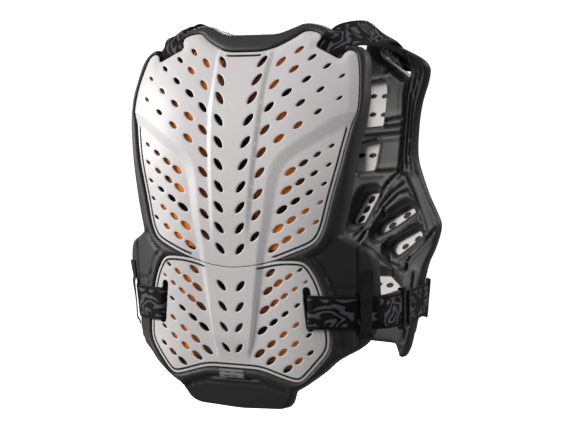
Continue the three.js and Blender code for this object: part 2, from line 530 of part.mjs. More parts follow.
const chestPlate = cut(chestSkin, plateFace, plateTop, ring(chestPlateEdge))
  .subtract(ventCutter(chestVents)).subtract(chestSlots).subtract(chestHoles).subtract(strapRoom);

const face = strapThick / 2 + gap;
const sliderBody = joined([
  block(-slider.half, -slider.half + slider.bar, face, face + slider.thick, -slider.reach, slider.reach),
  block(slider.half - slider.bar, slider.half, face, face + slider.thick, -slider.reach, slider.reach),
  block(-slider.bar / 2, slider.bar / 2, -face - slider.thick, -face, -slider.reach, slider.reach),
  block(-slider.half, slider.half, -face - slider.thick, face + slider.thick,
    slider.reach, slider.reach + slider.rail),
  block(-slider.half, slider.half, -face - slider.thick, face + slider.thick,
    -slider.reach - slider.rail, -slider.reach),
].map((part) => solid(seated(part, slider.at, slider.share))));
const hookReach = strapWidth / 2 + 1.2;
const hookBody = joined([
  block(-hook.half, hook.half, face, face + hook.thick, -hookReach, hookReach),
  block(-hook.pegOut - 5, 0, face, face + hook.thick, -hook.tongue, hook.tongue),
  block(-hook.bar / 2, hook.bar / 2, -face - hook.thick / 2, -face, -hookReach, hookReach),
  ...[1, -1].map((side) => block(-hook.bar / 2, hook.bar / 2, -face - hook.thick / 2, face + hook.thick,
    Math.min(side * hookReach, side * (hookReach + hook.rail)),
    Math.max(side * hookReach, side * (hookReach + hook.rail)))),
  pin(hook.peg, -hook.pegLong, face + 1).translate(-hook.pegOut, 0, 0),
].map((part) => solid(seated(part, waistLine.length - 2))));

const rivetBody = joined([
  [rivet.head, -rivet.headThick - rivet.seat, -rivet.seat],
  [rivet.shank, -rivet.seat - 0.2, rivetStack + rivet.seat + 0.2],
  [rivet.head, rivetStack + rivet.seat, rivetStack + rivet.seat + rivet.headThick],
].map((row) => riveted(pin(...row))));
const labelFace = padBed - rimRise - gap;
const labelBody = cut(backSkin, labelFace - label.thick, labelFace, [
  [-1, -1], [1, -1], [1, 1], [-1, 1],
].map(([u, v]) => new THREE.Vector2(label.x + u * label.wide / 2, label.z + v * label.tall / 2)));

piece('back_upper_plate', geometryOf(upperPlate), matte(0xdcdae0, 0.42));
piece('back_lower_plate', geometryOf(lowerPlate), matte(0xdcdae0, 0.42));
piece('back_foam_upper', geometryOf(foams[0]), matte(0xe8680f, 0.85));
piece('back_foam_lower', geometryOf(foams[1]), matte(0xe8680f, 0.85));
piece('back_pad', geometryOf(backPad), matte(0x2b2b2d, 0.8));
piece('chest_pad', geometryOf(chestPad), matte(0x2b2b2d, 0.8));
piece('chest_plate', geometryOf(chestPlate), matte(0xdcdae0, 0.42));
piece('shoulder_strap_right', shoulderStraps[0], matte(0x1d1d20, 0.9));
piece('shoulder_strap_left', mirrored(shoulderStraps[1]), matte(0x1d1d20, 0.9));
pair('waist_strap', waistStrap, matte(0x1d1d20, 0.9));
pair('keeper', keeperBand, matte(0x1a1a1c, 0.9));
pair('slider', geometryOf(sliderBody), matte(0x151517, 0.4));
pair('hook', geometryOf(hookBody), matte(0x151517, 0.4));
pair('rivet', geometryOf(rivetBody), matte(0x111112, 0.35, 0.2));
piece('label', geometryOf(labelBody), matte(0x77777a, 0.7));

export default group;
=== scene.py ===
import math

import bpy
import numpy as np
from mathutils import Matrix, Vector
from mathutils.geometry import delaunay_2d_cdt
from mathutils.kdtree import KDTree


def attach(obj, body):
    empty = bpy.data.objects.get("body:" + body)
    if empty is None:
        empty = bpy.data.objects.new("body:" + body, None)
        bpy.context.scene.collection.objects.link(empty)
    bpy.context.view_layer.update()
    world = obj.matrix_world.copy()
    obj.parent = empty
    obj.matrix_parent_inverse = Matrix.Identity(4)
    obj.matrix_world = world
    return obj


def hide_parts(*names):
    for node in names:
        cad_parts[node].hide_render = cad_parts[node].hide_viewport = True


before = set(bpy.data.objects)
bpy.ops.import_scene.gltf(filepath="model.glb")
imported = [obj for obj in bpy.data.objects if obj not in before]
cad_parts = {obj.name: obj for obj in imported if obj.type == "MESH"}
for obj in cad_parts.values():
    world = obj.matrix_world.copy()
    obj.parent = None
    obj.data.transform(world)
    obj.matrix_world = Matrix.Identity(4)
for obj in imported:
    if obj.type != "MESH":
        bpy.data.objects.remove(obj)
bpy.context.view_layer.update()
bpy.ops.object.select_all(action="DESELECT")
print("frame loaded:", len(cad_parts), "nodes")

zero = {"y": 15.0, "z": 219.0}


def put(x, y, z):
    return np.stack([x / 1000, (y - zero["y"]) / 1000, (z - zero["z"]) / 1000], -1)


# Camera, at the photo's angle.
shot = {"azimuth": 32.0, "elevation": 2.73, "distance": 2.211, "lens": 121.2}
turn, lift = math.radians(shot["azimuth"]), math.radians(shot["elevation"])
aim = Vector(put(*np.zeros(3)))
back = Vector((math.sin(turn) * math.cos(lift), -math.cos(turn) * math.cos(lift), math.sin(lift)))
bpy.ops.object.camera_add(location=aim + back * shot["distance"],
                          rotation=(-back).to_track_quat("-Z", "Y").to_euler())
camera = bpy.context.object
camera.data.lens = shot["lens"]
bpy.context.scene.camera = camera
bpy.context.scene.view_settings.view_transform = "Standard"


# Materials.
class Wire:
    # a socket that takes part in sums
    def __init__(self, finish, socket):
        self.finish = finish
        self.socket = socket

    def sum(self, operation, first, second):
        return self.finish.node("Math", {"operation": operation}, {0: first, 1: second})

    def __add__(self, other):
        return self.sum("ADD", self, other)

    def __radd__(self, other):
        return self.sum("ADD", other, self)

    def __sub__(self, other):
        return self.sum("SUBTRACT", self, other)

    def __rsub__(self, other):
        return self.sum("SUBTRACT", other, self)

    def __mul__(self, other):
        return self.sum("MULTIPLY", self, other)

    def __rmul__(self, other):
        return self.sum("MULTIPLY", other, self)

    def above(self, low, high):
        # 0 below the low value, 1 above the high one, smooth between
        return self.finish.node("MapRange", {"interpolation_type": "SMOOTHSTEP"},
                                {"Value": self, "From Min": low, "From Max": high})

    def wave(self):
        return self.finish.node("Math", {"operation": "SINE"}, {0: self})

    def size(self):
        return self.finish.node("Math", {"operation": "ABSOLUTE"}, {0: self})


class Finish:
    def __init__(self, name, **constants):
        self.material = bpy.data.materials.new(name)
        self.material.use_nodes = True
        self.tree = self.material.node_tree
        self.shader = self.tree.nodes["Principled BSDF"]
        for socket, value in constants.items():
            self.shader.inputs[socket.replace("_", " ")].default_value = value
        self.point = self.node("TexCoord", {}, {}, "Object")

    def node(self, kind, settings, inputs, out=0):
        made = self.tree.nodes.new("ShaderNode" + kind)
        for key, value in settings.items():
            setattr(made, key, value)
        for key, value in inputs.items():
            self.plug(value, made.inputs[key])
        return Wire(self, made.outputs[out])

    def plug(self, value, socket):
        if isinstance(value, Wire):
            self.tree.links.new(value.socket, socket)
        else:
            socket.default_value = value

    def mix(self, first, second, factor):
        settings = {"data_type": "RGBA", "clamp_factor": True}
        return self.node("Mix", settings, {0: factor, 6: first, 7: second}, 2)

    def noise(self, scale, detail=2.0, point=None):
        inputs = {"Vector": point or self.point, "Scale": scale, "Detail": detail}
        return self.node("TexNoise", {}, inputs, "Fac")

    def cells(self, scale, point=None, feature="F1"):
        inputs = {"Vector": point or self.point, "Scale": scale}
        return self.node("TexVoronoi", {"feature": feature}, inputs, "Distance")

    def mark(self, name):
        return self.node("Attribute", {"attribute_name": name}, {}, "Fac")

    def along(self, vector=None):
        split = self.node("SeparateXYZ", {}, {0: vector or self.point}, 0)
        node = split.socket.node
        return [Wire(self, node.outputs[i]) for i in range(3)]

    def bump(self, height, strength, distance, under=None):
        inputs = {"Height": height, "Strength": strength, "Distance": distance}
        if under:
            inputs["Normal"] = under
        return self.node("Bump", {}, inputs)

    def done(self, **links):
        for socket, value in links.items():
            self.plug(value, self.shader.inputs[socket.replace("_", " ")])
        return self.material


def rgb(r, g, b):
    return (r, g, b, 1.0)


def shellFinish():
    paint = Finish("moulded shell", Coat_Weight=0.0)
    cloud = paint.noise(9, 3)
    speck = paint.noise(420, 2)
    seamAndHoleShade = paint.mark("seamAndHoleShade")
    wall = paint.mark("wall")
    colour = paint.mix(rgb(0.80, 0.765, 0.785), rgb(0.83, 0.80, 0.80), cloud.above(0.35, 0.65))
    colour = paint.mix(colour, rgb(0.70, 0.68, 0.69), speck.above(0.62, 0.8) * 0.25)
    # vent walls darker: painted shade inside the vents
    colour = paint.mix(colour, rgb(0.60, 0.56, 0.54), wall * 0.5)
    # black along the seams, and painted shade in the chest shell's closed vents
    colour = paint.mix(colour, rgb(0.008, 0.008, 0.009), seamAndHoleShade)
    grain = paint.noise(2600, 2)
    normal = paint.bump(grain, 0.12, 0.0003, paint.bump(cloud, 0.05, 0.004))
    return paint.done(Base_Color=colour, Roughness=0.33 + cloud * 0.12 + seamAndHoleShade * 0.3, Normal=normal)


def foamFinish():
    paint = Finish("orange foam")
    dark = paint.mark("dark")
    cell = paint.cells(700)
    cloud = paint.noise(40, 3)
    colour = paint.mix(rgb(1.0, 0.29, 0.010), rgb(0.92, 0.20, 0.006), cloud)
    # the brown step is painted shade on the orange foam; the black step is black foam in the channels and
    # painted deep shade in the middle column
    colour = paint.mix(colour, rgb(0.17, 0.055, 0.020), dark.above(0.12, 0.62))
    colour = paint.mix(colour, rgb(0.016, 0.011, 0.009), dark.above(0.62, 0.95))
    return paint.done(Base_Color=colour, Roughness=0.75 + cloud * 0.15, Normal=paint.bump(cell, 0.5, 0.0005))


def padFinish():
    paint = Finish("moulded padding", Sheen_Weight=0.06, Sheen_Roughness=0.4)
    cloud = paint.noise(22, 4)
    fleck = paint.noise(900, 3)
    crease = paint.mark("crease")
    colour = paint.mix(rgb(0.011, 0.011, 0.0115), rgb(0.024, 0.0235, 0.025), cloud)
    colour = paint.mix(colour, rgb(0.040, 0.040, 0.043), fleck.above(0.52, 0.75) * 0.5)
    # crease: painted shade in creases, grooves, rib valleys and the valleys beside the shells, and dark along
    # the wing seams
    colour = paint.mix(colour, rgb(0.002, 0.002, 0.002), crease * 0.85)
    weave = paint.cells(1100)
    normal = paint.bump(weave, 0.28, 0.0004, paint.bump(cloud, 0.18, 0.002))
    return paint.done(Base_Color=colour, Roughness=0.42 + fleck * 0.22, Normal=normal)


def elasticFinish():
    # u runs along the strap and v across it, both in strap millimetres / 100
    paint = Finish("printed elastic", Specular_IOR_Level=0.15)
    thread = paint.node("UVMap", {}, {}, 0)
    u, v, _ = paint.along(thread)
    swirl = paint.noise(2.2, 1, thread)
    slant = paint.node("CombineXYZ", {}, {0: u * 2.2 + v * 2.6 + swirl * 1.2, 1: v * 4.6 - u * 1.5})
    field = paint.noise(1.0, 1, slant)
    stroke = (field * 38).wave()
    inside = 1 - (v - 0.185).size().above(0.14, 0.155)
    rest = paint.noise(3.1, 1, paint.node("VectorMath", {"operation": "ADD"}, {0: thread, 1: (8.3, 4.2, 0)}))
    printed = stroke.above(0.05, 0.3) * rest.above(0.36, 0.4) * inside
    fringe = (v - 0.185).size().above(0.168, 0.174)
    ribs = (v * 1900).wave() * 0.5 + (u * 900).wave() * 0.5
    worn = paint.noise(140, 2, thread)
    colour = paint.mix(rgb(0.005, 0.005, 0.006), rgb(0.15, 0.15, 0.158), printed * (1.2 - worn))
    colour = paint.mix(colour, rgb(0.02, 0.02, 0.022), fringe)
    normal = paint.bump(ribs, 0.45, 0.0003)
    return paint.done(Base_Color=colour, Roughness=0.72 - printed * 0.15, Normal=normal)


def webbingFinish():
    paint = Finish("flat webbing", Specular_IOR_Level=0.2)
    x, _, z = paint.along()
    ribs = (z * 5200).wave() * 0.5 + (x * 2600).wave() * 0.5
    tone = paint.noise(120, 2)
    colour = paint.mix(rgb(0.010, 0.010, 0.012), rgb(0.026, 0.026, 0.029), tone)
    return paint.done(Base_Color=colour, Roughness=0.6 + tone * 0.2, Normal=paint.bump(ribs, 0.4, 0.0003))


def plasticFinish(name, tone, rough, coat=0.0):
    paint = Finish(name, Coat_Weight=coat, Coat_Roughness=0.2)
    cloud = paint.noise(90, 3)
    scuff = paint.noise(700, 4)
    scuffed = rgb(tone * 2.6, tone * 2.6, tone * 2.7)
    colour = paint.mix(rgb(tone, tone, tone * 1.06), scuffed, scuff.above(0.6, 0.8) * 0.5)
    normal = paint.bump(scuff, 0.08, 0.0002)
    return paint.done(Base_Color=colour, Roughness=rough + cloud * 0.12, Normal=normal)


def labelFinish():
    paint = Finish("woven label")
    x, _, z = paint.along()
    rows = (z * 5600).wave() * 0.5 + (x * 5600).wave() * 0.5
    patch = paint.noise(170, 3)
    stripe = (z * 1500 + 0.9).wave().above(0.3, 0.6) * patch.above(0.42, 0.52)
    colour = paint.mix(rgb(0.26, 0.26, 0.27), rgb(0.05, 0.05, 0.055), stripe)
    return paint.done(Base_Color=colour, Roughness=0.7 + patch * 0.1, Normal=paint.bump(rows, 0.4, 0.0002))


finishes = {
    "shell": shellFinish(), "foam": foamFinish(), "padding": padFinish(), "elastic": elasticFinish(),
    "webbing": webbingFinish(), "fitting": plasticFinish("black fitting", 0.010, 0.28, 0.3),
    "rivet": plasticFinish("black rivet", 0.007, 0.5),
    "thread": plasticFinish("black thread", 0.012, 0.6), "label": labelFinish(),
}
print("finishes made:", len(finishes))

# The body's shape, as the part's source has it.
spine = np.array([(-240, -82), (-208, -98), (-180, -106), (-143, -109.6), (-74, -111.8), (-20, -113.6),
                  (35, -112.2), (83, -108.2), (133, -99.8), (173, -86), (195, -76), (225, -57)], float)
chest = np.array([(-200, 108), (-150, 118), (-60, 127), (20, 130), (120, 130), (160, 126), (172, 121),
                  (184, 111), (190, 104), (200, 91), (225, 58)], float)
bend = {"start": 55, "reach": 65, "power": 2.2, "upper": 6, "waist": 11.5, "tuckStart": 125, "tuck": 15}
chestBend = {"reach": 150, "depth": 38}


def ease(value, low, high):
    t = np.clip((value - low) / (high - low), 0, 1)
    return t * t * (3 - 2 * t)


def profile(table, z):
    # smooth reading of a table by height
    heights, depths = table[:, 0], table[:, 1]
    last = len(table) - 1
    below, over = np.maximum(np.arange(last + 1) - 1, 0), np.minimum(np.arange(last + 1) + 1, last)
    slopes = (depths[over] - depths[below]) / (heights[over] - heights[below])
    i = np.clip(np.searchsorted(heights, z) - 1, 0, last - 1)
    span = heights[i + 1] - heights[i]
    t = (z - heights[i]) / span
    return ((2 * t**3 - 3 * t**2 + 1) * depths[i] + (t**3 - 2 * t**2 + t) * span * slopes[i]
            + (3 * t**2 - 2 * t**3) * depths[i + 1] + (t**3 - t**2) * span * slopes[i + 1])


def backSkin(x, z):
    out = np.abs(x)
    low = 1 - ease(z, -40, 80)
    amount = bend["upper"] + (bend["waist"] - bend["upper"]) * low
    curve = amount * (np.maximum(0, out - bend["start"]) / bend["reach"]) ** bend["power"]
    tuck = bend["tuck"] * (1 - ease(z, -115, -50)) * (np.maximum(0, out - bend["tuckStart"]) / 33) ** 2
    return profile(spine, z) + curve + tuck


def chestSkin(x, z):
    return profile(chest, z) - chestBend["depth"] * (x / chestBend["reach"]) ** 2


# Flat outlines: half of each, seen from behind, from the top's middle to the bottom's.
upperEdge = [(0, 183.3), (25.5, 183.5), (44, 191), (60, 199.5), (67, 205), (75, 206), (84, 204),
             (92, 200.5), (86.5, 188.6), (120, 173.1), (123, 181), (129, 183.7), (136, 181), (139.5, 173),
             (145, 150), (147.5, 118), (142, 107), (132, 61), (121, 22.5), (113.5, -8), (107, -21),
             (98, -28), (60, -43), (30, -50.5), (0, -53.9)]
lowerEdge = [(0, -54.5), (30, -51.1), (61, -44.2), (88, -43.6), (96, -48), (105, -62), (111.5, -80),
             (117.5, -118), (118.5, -132), (115.5, -144), (92, -171), (84, -177), (74, -176.5),
             (35, -165.5), (0, -165.5)]
upperFoamEdge = [(0, 172), (26, 173), (60, 187), (70, 190), (80, 177), (116, 160), (131, 165), (138, 148),
                 (139, 120), (124, 62), (112, 22), (104, -8), (95, -18), (58, -33), (0, -43)]
lowerFoamEdge = [(0, -64), (60, -54), (84, -53), (96, -64), (102, -82), (108, -118), (107, -138),
                 (84, -165), (76, -166), (37, -156), (0, -156)]
backPadEdge = [(0, 202.5), (35, 202.7), (52, 209), (63, 214), (73, 214), (86, 210.3), (98.5, 204.5),
               (91, 196), (121, 182), (126, 187.5), (134, 187), (143, 180), (147.5, 170), (153, 132),
               (151.8, 108), (144, 68), (134.5, 12), (127, -17), (140.5, -25.5), (155, -31), (160, -40),
               (161, -52),
               (156.5, -98), (151.5, -126), (143, -138), (121, -151.5), (107.5, -165), (83.5, -182),
               (72.5, -187.5), (66.5, -202), (57, -208.5), (0, -211.5)]
chestPadEdge = [(0, 160), (24, 162), (37, 172), (45, 188), (59, 200), (75, 204.5), (101, 192),
                (118, 183.5), (129, 177.5), (133.5, 169), (127.5, 151.7), (117, 133.7), (111, 113),
                (107.5, 83), (108, 64), (113.5, 49), (127.5, 21), (146.5, -5), (149.5, -13), (147.5, -23),
                (139.5, -41.4), (125.5, -63), (119, -90), (112.5, -130), (108, -154), (102.5, -166.5),
                (96.5, -169.5), (90, -161), (86, -153.5), (0, -153)]
chestPlateEdge = [(0, 154), (26, 156), (42, 168), (51, 184), (65, 195), (76, 198), (99, 187), (115, 178),
                  (123, 172), (125.5, 164), (112, 136), (104.5, 113), (101, 83), (101.5, 62), (107, 45),
                  (121, 18), (137, -2), (142, -13), (136, -40), (126, -62), (119.5, -90), (113.5, -125),
                  (110, -142), (101, -147), (0, -147)]
windows = [
    [(16, 150), (63, 156), (66, 148), (59, 102), (14, 98)],
    [(12, 78), (51, 86), (53, 80), (46, 49), (11, 45)],
    [(36, 20), (49, 22), (26.5, -15), (13.5, -16)],
    [(49, -29), (56, -19), (72, -9), (104, 6), (106, 1), (76, -16)],
    [(72, -46), (77, -38), (116, -20.5), (118.5, -26), (78, -52)],
    [(36, -78), (68, -77), (86, -90.5), (55, -100.5), (34, -100)],
]
# Rows of vents: start, end, how many, first and last length, lean.
upperVents = [
    (26, 172.8, 21.5, 132.8, 3, 14.5, 15.5, 50), (19.6, 108.6, 14.6, 35.3, 4, 15.5, 15, 47),
    (14, 12.7, 13, -33, 3, 15, 14.5, 45), (49.3, 172.2, 38.2, 73, 5, 13, 14.5, 42),
    (37.4, 51, 32.6, -18.6, 4, 14.5, 14, 42), (69.4, 184.8, 69.4, 184.8, 1, 11, 11, 35),
    (67.8, 163.9, 87.3, 176.4, 2, 12, 10, 33), (64.2, 138.3, 107.1, 166.6, 3, 13, 9, 33),
    (61.3, 112.6, 126, 155.6, 4, 14, 7, 33), (60, 88.3, 127, 131.8, 4, 14, 7, 33),
    (74.5, 52.8, 121.3, 80.7, 4, 14, 7, 31), (70.6, 32.5, 119, 60.5, 4, 14.5, 7, 31),
    (65.2, 11.4, 114, 40, 4, 14.5, 7, 31), (60.7, -9.2, 110, 19.8, 4, 14.5, 7, 31),
    (54.7, -30.8, 105, -1.4, 4, 15, 7.5, 31),
]
lowerVents = [
    (12.5, -74, 8.6, -143.1, 4, 14, 12, 45), (50.2, -58, 50.2, -58, 1, 13, 13, 33),
    (60, -68.8, 86.4, -53.6, 3, 12.5, 7, 33), (46.5, -77.8, 46.5, -77.8, 1, 13.5, 13.5, 33),
    (41.8, -98.9, 93, -66.4, 5, 14, 5.5, 33), (38.6, -121.8, 82.6, -92.2, 4, 14, 7.5, 33),
    (34.4, -147.4, 81.3, -113.6, 4, 14.5, 8.5, 34), (48.8, -154.6, 95.4, -124.2, 4, 14, 7.5, 34),
    (69.7, -162.4, 96.8, -143.4, 3, 13, 8.5, 34),
]
chestVents = [
    (55, 137, 38, 137, 2, 8, 8, 10), (53, 115, 36, 115, 2, 8, 8, 10), (36, 66, 19, 66, 2, 9, 9, 10),
    (35, 13, 20, -11, 3, 10.4, 10.4, 40), (67, -17, 90, -4, 2, 10.4, 10.4, 30),
    (88, -41, 108, -31, 2, 9, 9, 28), (48, -88, 66, -88, 2, 9, 9, 10),
]
ventShape = 0.46
waistSlot = {"x": 95.2, "z": -96, "long": 49, "wide": 9.6, "lean": 96}


def whole(half):
    return half + [(-x, z) for x, z in reversed(half) if x > 0]


def resample(line, step, closed):
    line = np.asarray(line, float)
    if closed:
        line = np.vstack([line, line[:1]])
    lengths = np.hypot(*np.diff(line, axis=0).T)
    along = np.concatenate([[0], np.cumsum(lengths)])
    count = max(4, round(along[-1] / step))
    at = np.linspace(0, along[-1], count + 1)
    made = np.stack([np.interp(at, along, line[:, k]) for k in (0, 1)], 1)
    return made[:-1] if closed else made


def rounded(points, radius, step, closed=True):
    # corners become short curves, gentle bends become long ones
    points = np.asarray(points, float)
    count = len(points)
    made = []
    for i, p in enumerate(points):
        if not closed and i in (0, count - 1):
            made.append(p)
            continue
        before, after = points[i - 1] - p, points[(i + 1) % count] - p
        a, b = np.hypot(*before), np.hypot(*after)
        bendAngle = math.acos(np.clip(-(before @ after) / (a * b), -1, 1))
        reach = radius if bendAngle > 0.6 else 2.4 * radius
        u, v = p + before / a * min(reach, 0.48 * a), p + after / b * min(reach, 0.48 * b)
        for t in np.linspace(0, 1, 7):
            made.append((1 - t) ** 2 * u + 2 * t * (1 - t) * p + t * t * v)
    return resample(made, step, closed)


def inset(loop, amount):
    # the loop moved inwards, for rows of points beside an edge
    before, after = np.roll(loop, 1, 0), np.roll(loop, -1, 0)
    tangent = after - before
    tangent /= np.maximum(1e-9, np.hypot(*tangent.T))[:, None]
    area = np.sum(before[:, 0] * loop[:, 1] - loop[:, 0] * before[:, 1])
    side = 1 if area > 0 else -1
    return loop + side * amount * np.stack([-tangent[:, 1], tangent[:, 0]], 1)


def nearest(points, line, closed=False):
    # how far each point lies from a line, and where along it
    line = np.asarray(line, float)
    ends = np.roll(line, -1, 0) if closed else line[1:]
    starts = line if closed else line[:-1]
    best = np.full(len(points), 1e9)
    place = np.zeros(len(points))
    run = 0.0
    for a, b in zip(starts, ends):
        span = b - a
        long = math.hypot(*span)
        if long < 1e-9:
            continue
        t = np.clip((points - a) @ span / long**2, 0, 1)
        far = np.hypot(points[:, 0] - a[0] - t * span[0], points[:, 1] - a[1] - t * span[1])
        closer = far < best
        best[closer] = far[closer]
        place[closer] = run + t[closer] * long
        run += long
    return best, place


def within(points, loop):
    inside = np.zeros(len(points), bool)
    x, z = points[:, 0], points[:, 1]
    for (ax, az), (bx, bz) in zip(loop, np.roll(loop, -1, 0)):
        if az != bz:
            crosses = (az > z) != (bz > z)
            inside ^= crosses & (x < (bx - ax) * (z - az) / (bz - az) + ax)
    return inside


def ventsOf(table):
    # middle, half length, half width and lean of every vent on both sides
    made = []
    for x, z, toX, toZ, count, long, toLong, lean in table:
        for k in range(count):
            t = k / max(1, count - 1)
            size = (long + (toLong - long) * t) / 2 * 1.13
            for side in (1, -1):
                made.append((side * (x + (toX - x) * t), z + (toZ - z) * t, size, size * ventShape * 0.94,
                             math.radians(side * lean)))
    return np.array(made)


def ventLoop(vent, grow, count=18):
    x, z, long, wide, lean = vent
    a = np.linspace(0, 2 * math.pi, count, endpoint=False)
    u, v = (long + grow) * np.cos(a), (wide + grow) * np.sin(a) * (1 - 0.12 * np.cos(a) ** 2)
    return np.stack([x + u * math.cos(lean) - v * math.sin(lean),
                     z + u * math.sin(lean) + v * math.cos(lean)], 1)


def ventDistance(points, vents):
    best = np.full(len(points), 1e9)
    for x, z, long, wide, lean in vents:
        dx, dz = points[:, 0] - x, points[:, 1] - z
        u, v = dx * math.cos(lean) + dz * math.sin(lean), dz * math.cos(lean) - dx * math.sin(lean)
        ratio = np.maximum(1e-6, np.hypot(u / long, v / wide))
        best = np.minimum(best, np.hypot(u, v) * (1 - 1 / ratio))
    return np.maximum(0, best)


def slotLoop(slot, grow=0.0):
    x, z, lean = slot["x"], slot["z"], math.radians(slot["lean"])
    r, half = slot["wide"] / 2 + grow, (slot["long"] - slot["wide"]) / 2
    line = []
    for side in (1, -1):
        for a in np.radians(np.linspace(-90, 90, 9)):
            line.append((side * (half + r * math.cos(a)), side * r * math.sin(a)))
    line = np.array(line)
    return np.stack([x + line[:, 0] * math.cos(lean) - line[:, 1] * math.sin(lean),
                     z + line[:, 0] * math.sin(lean) + line[:, 1] * math.cos(lean)], 1)


def plan(outline, holes, lines, spacing):
    # triangles of a flat sheet with holes, fine and even, that follow the given lines
    points, edges = [], []
    for loop, closed in [(outline, True)] + [(hole, True) for hole in holes] + lines:
        first = len(points)
        points.extend(map(tuple, loop))
        count = len(loop)
        edges.extend((first + i, first + (i + 1) % count) for i in range(count if closed else count - 1))
    tree = KDTree(len(points))
    for i, (x, z) in enumerate(points):
        tree.insert((x, z, 0), i)
    tree.balance()
    low, high = outline.min(0), outline.max(0)
    grid = []
    for j, z in enumerate(np.arange(low[1], high[1], spacing * 0.866)):
        shift = spacing / 2 if j % 2 else 0.0
        reach = math.ceil(high[0] / spacing)
        grid.extend((i * spacing + shift, z) for i in range(-reach - 1, reach + 1))
    grid = np.array(grid)
    grid = grid[within(grid, outline)]
    for hole in holes:
        near = np.all((grid > hole.min(0)) & (grid < hole.max(0)), 1)
        near[near] = within(grid[near], hole)
        grid = grid[~near]
    points.extend((x, z) for x, z in grid if tree.find((x, z, 0))[2] > 0.62 * spacing)
    made = delaunay_2d_cdt([Vector(p) for p in points], edges, [], 0, 1e-5)
    flat = np.array([tuple(p) for p in made[0]])
    triangles = np.array([tuple(f) for f in made[2]])
    middle = flat[triangles].mean(1)
    keep = within(middle, outline)
    for hole in holes:
        near = keep & np.all((middle > hole.min(0)) & (middle < hole.max(0)), 1)
        near[near] = within(middle[near], hole)
        keep &= ~near
    triangles = triangles[keep]
    a, b, c = (flat[triangles[:, k]] for k in range(3))
    area = (b[:, 0] - a[:, 0]) * (c[:, 1] - a[:, 1]) - (b[:, 1] - a[:, 1]) * (c[:, 0] - a[:, 0])
    triangles[area < 0] = triangles[area < 0][:, ::-1]
    triangles = triangles[np.abs(area) > 1e-7]
    used, triangles = np.unique(triangles, return_inverse=True)
    return flat[used], triangles.reshape(-1, 3)


def dress(piece, nodeNames, finish, smooth=35):
    # material, shading, place and what the piece stands for
    piece.data.materials.clear()
    piece.data.materials.append(finishes[finish])
    bpy.ops.object.select_all(action="DESELECT")
    bpy.context.view_layer.objects.active = piece
    piece.select_set(True)
    bpy.ops.object.shade_smooth_by_angle(angle=math.radians(smooth))
    bpy.ops.object.transform_apply(location=True, rotation=True, scale=True)
    piece.select_set(False)
    if nodeNames:
        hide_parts(*nodeNames)
    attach(piece, "root")
    return piece


def newPiece(name, vertices, faces, marks=None):
    mesh = bpy.data.meshes.new(name)
    mesh.from_pydata([tuple(map(float, v)) for v in vertices], [], [tuple(map(int, f)) for f in faces])
    mesh.update()
    for key, values in (marks or {}).items():
        mesh.attributes.new(key, "FLOAT", "POINT").data.foreach_set("value", values.astype(np.float32))
    piece = bpy.data.objects.new(name, mesh)
    bpy.context.scene.collection.objects.link(piece)
    return piece


def sandwich(name, flat, triangles, near, far, marks=None):
    # a closed body between two depths over one flat sheet; near is the side towards -y
    count = len(flat)
    x, z = flat[:, 0], flat[:, 1]
    vertices = np.vstack([put(x, near, z), put(x, far, z)])
    directed = {}
    for tri in triangles:
        for a, b in ((tri[0], tri[1]), (tri[1], tri[2]), (tri[2], tri[0])):
            directed[(int(a), int(b))] = True
    rim = [(a, b) for a, b in directed if (b, a) not in directed]
    faces = [tuple(t) for t in triangles] + [tuple(t[::-1] + count) for t in triangles]
    faces += [(b, a, a + count, b + count) for a, b in rim]
    marks = {key: np.concatenate([value, value]) for key, value in (marks or {}).items()}
    return newPiece(name, vertices, faces, marks)


def quarter(distance, radius):
    # how far a rounded edge has fallen, at a distance from it
    return radius * (1 - np.sqrt(np.maximum(0, 1 - (1 - np.clip(distance / radius, 0, 1)) ** 2)))


def groove(distance, width):
    return np.exp(-((distance / width) ** 2))


# Back shells.
shellLook = {"thick": 2.1, "side": -0.7, "crest": 2.4, "middle": 1.9, "rim": 0.9,
             "seamIn": 3.9, "seamDeep": 1.1}
crestLine = [(139, 116), (125, 113), (99, 96), (73, 81), (58, 70), (50, 56), (46.6, 41), (42, -2), (36, -29),
             (34, -50), (30.5, -80), (24.7, -122), (19, -158)]
footLine = [(149, 108), (136, 102), (95, 79), (77, 69), (66, 58), (59, 43), (52.5, 0), (45, -29), (41, -50),
            (36, -80), (27.5, -122), (20, -160)]
ridgeLine = [(35.5, 183), (33.4, 151), (32.7, 117), (30, 78), (27.4, 42), (24, -2), (22.8, -42)]
crestCurve = rounded(crestLine, 6, 2.2, False)
footCurve = rounded(footLine, 8, 2.2, False)
ridgeCurve = rounded(ridgeLine, 6, 2.4, False)
upperLoop = rounded(whole(upperEdge), 4.5, 2.0)
lowerLoop = rounded(whole(lowerEdge), 5, 2.0)


def crestShare(flat):
    # 1 on the raised middle, 0 on the side panels, falling between the two lines
    folded = np.stack([np.abs(flat[:, 0]), flat[:, 1]], 1)
    raised = within(folded, np.array(crestCurve.tolist() + [(0, -220), (0, 260), (220, 260), (220, 116)]))
    outer = ~within(folded, np.array(footCurve.tolist() + [(0, -220), (0, 260), (220, 260), (220, 108)]))
    toCrest, toFoot = nearest(folded, crestCurve)[0], nearest(folded, footCurve)[0]
    share = toFoot / np.maximum(1e-6, toCrest + toFoot)
    return np.where(raised, 1.0, np.where(outer, 0.0, share))


def shellRise(flat):
    # how far the shell stands out from the skin
    x, z = np.abs(flat[:, 0]), flat[:, 1]
    crest = crestShare(flat) * (1 - ease(-z, 128, 162))
    ridge = np.interp(z, [p[1] for p in reversed(ridgeLine)], [p[0] for p in reversed(ridgeLine)])
    middle = np.clip((ridge + 1.8 - x) / 3.6, 0, 1) * ease(z, -40, 15)
    return shellLook["side"] + (shellLook["crest"] - shellLook["side"]) * crest + shellLook["middle"] * middle


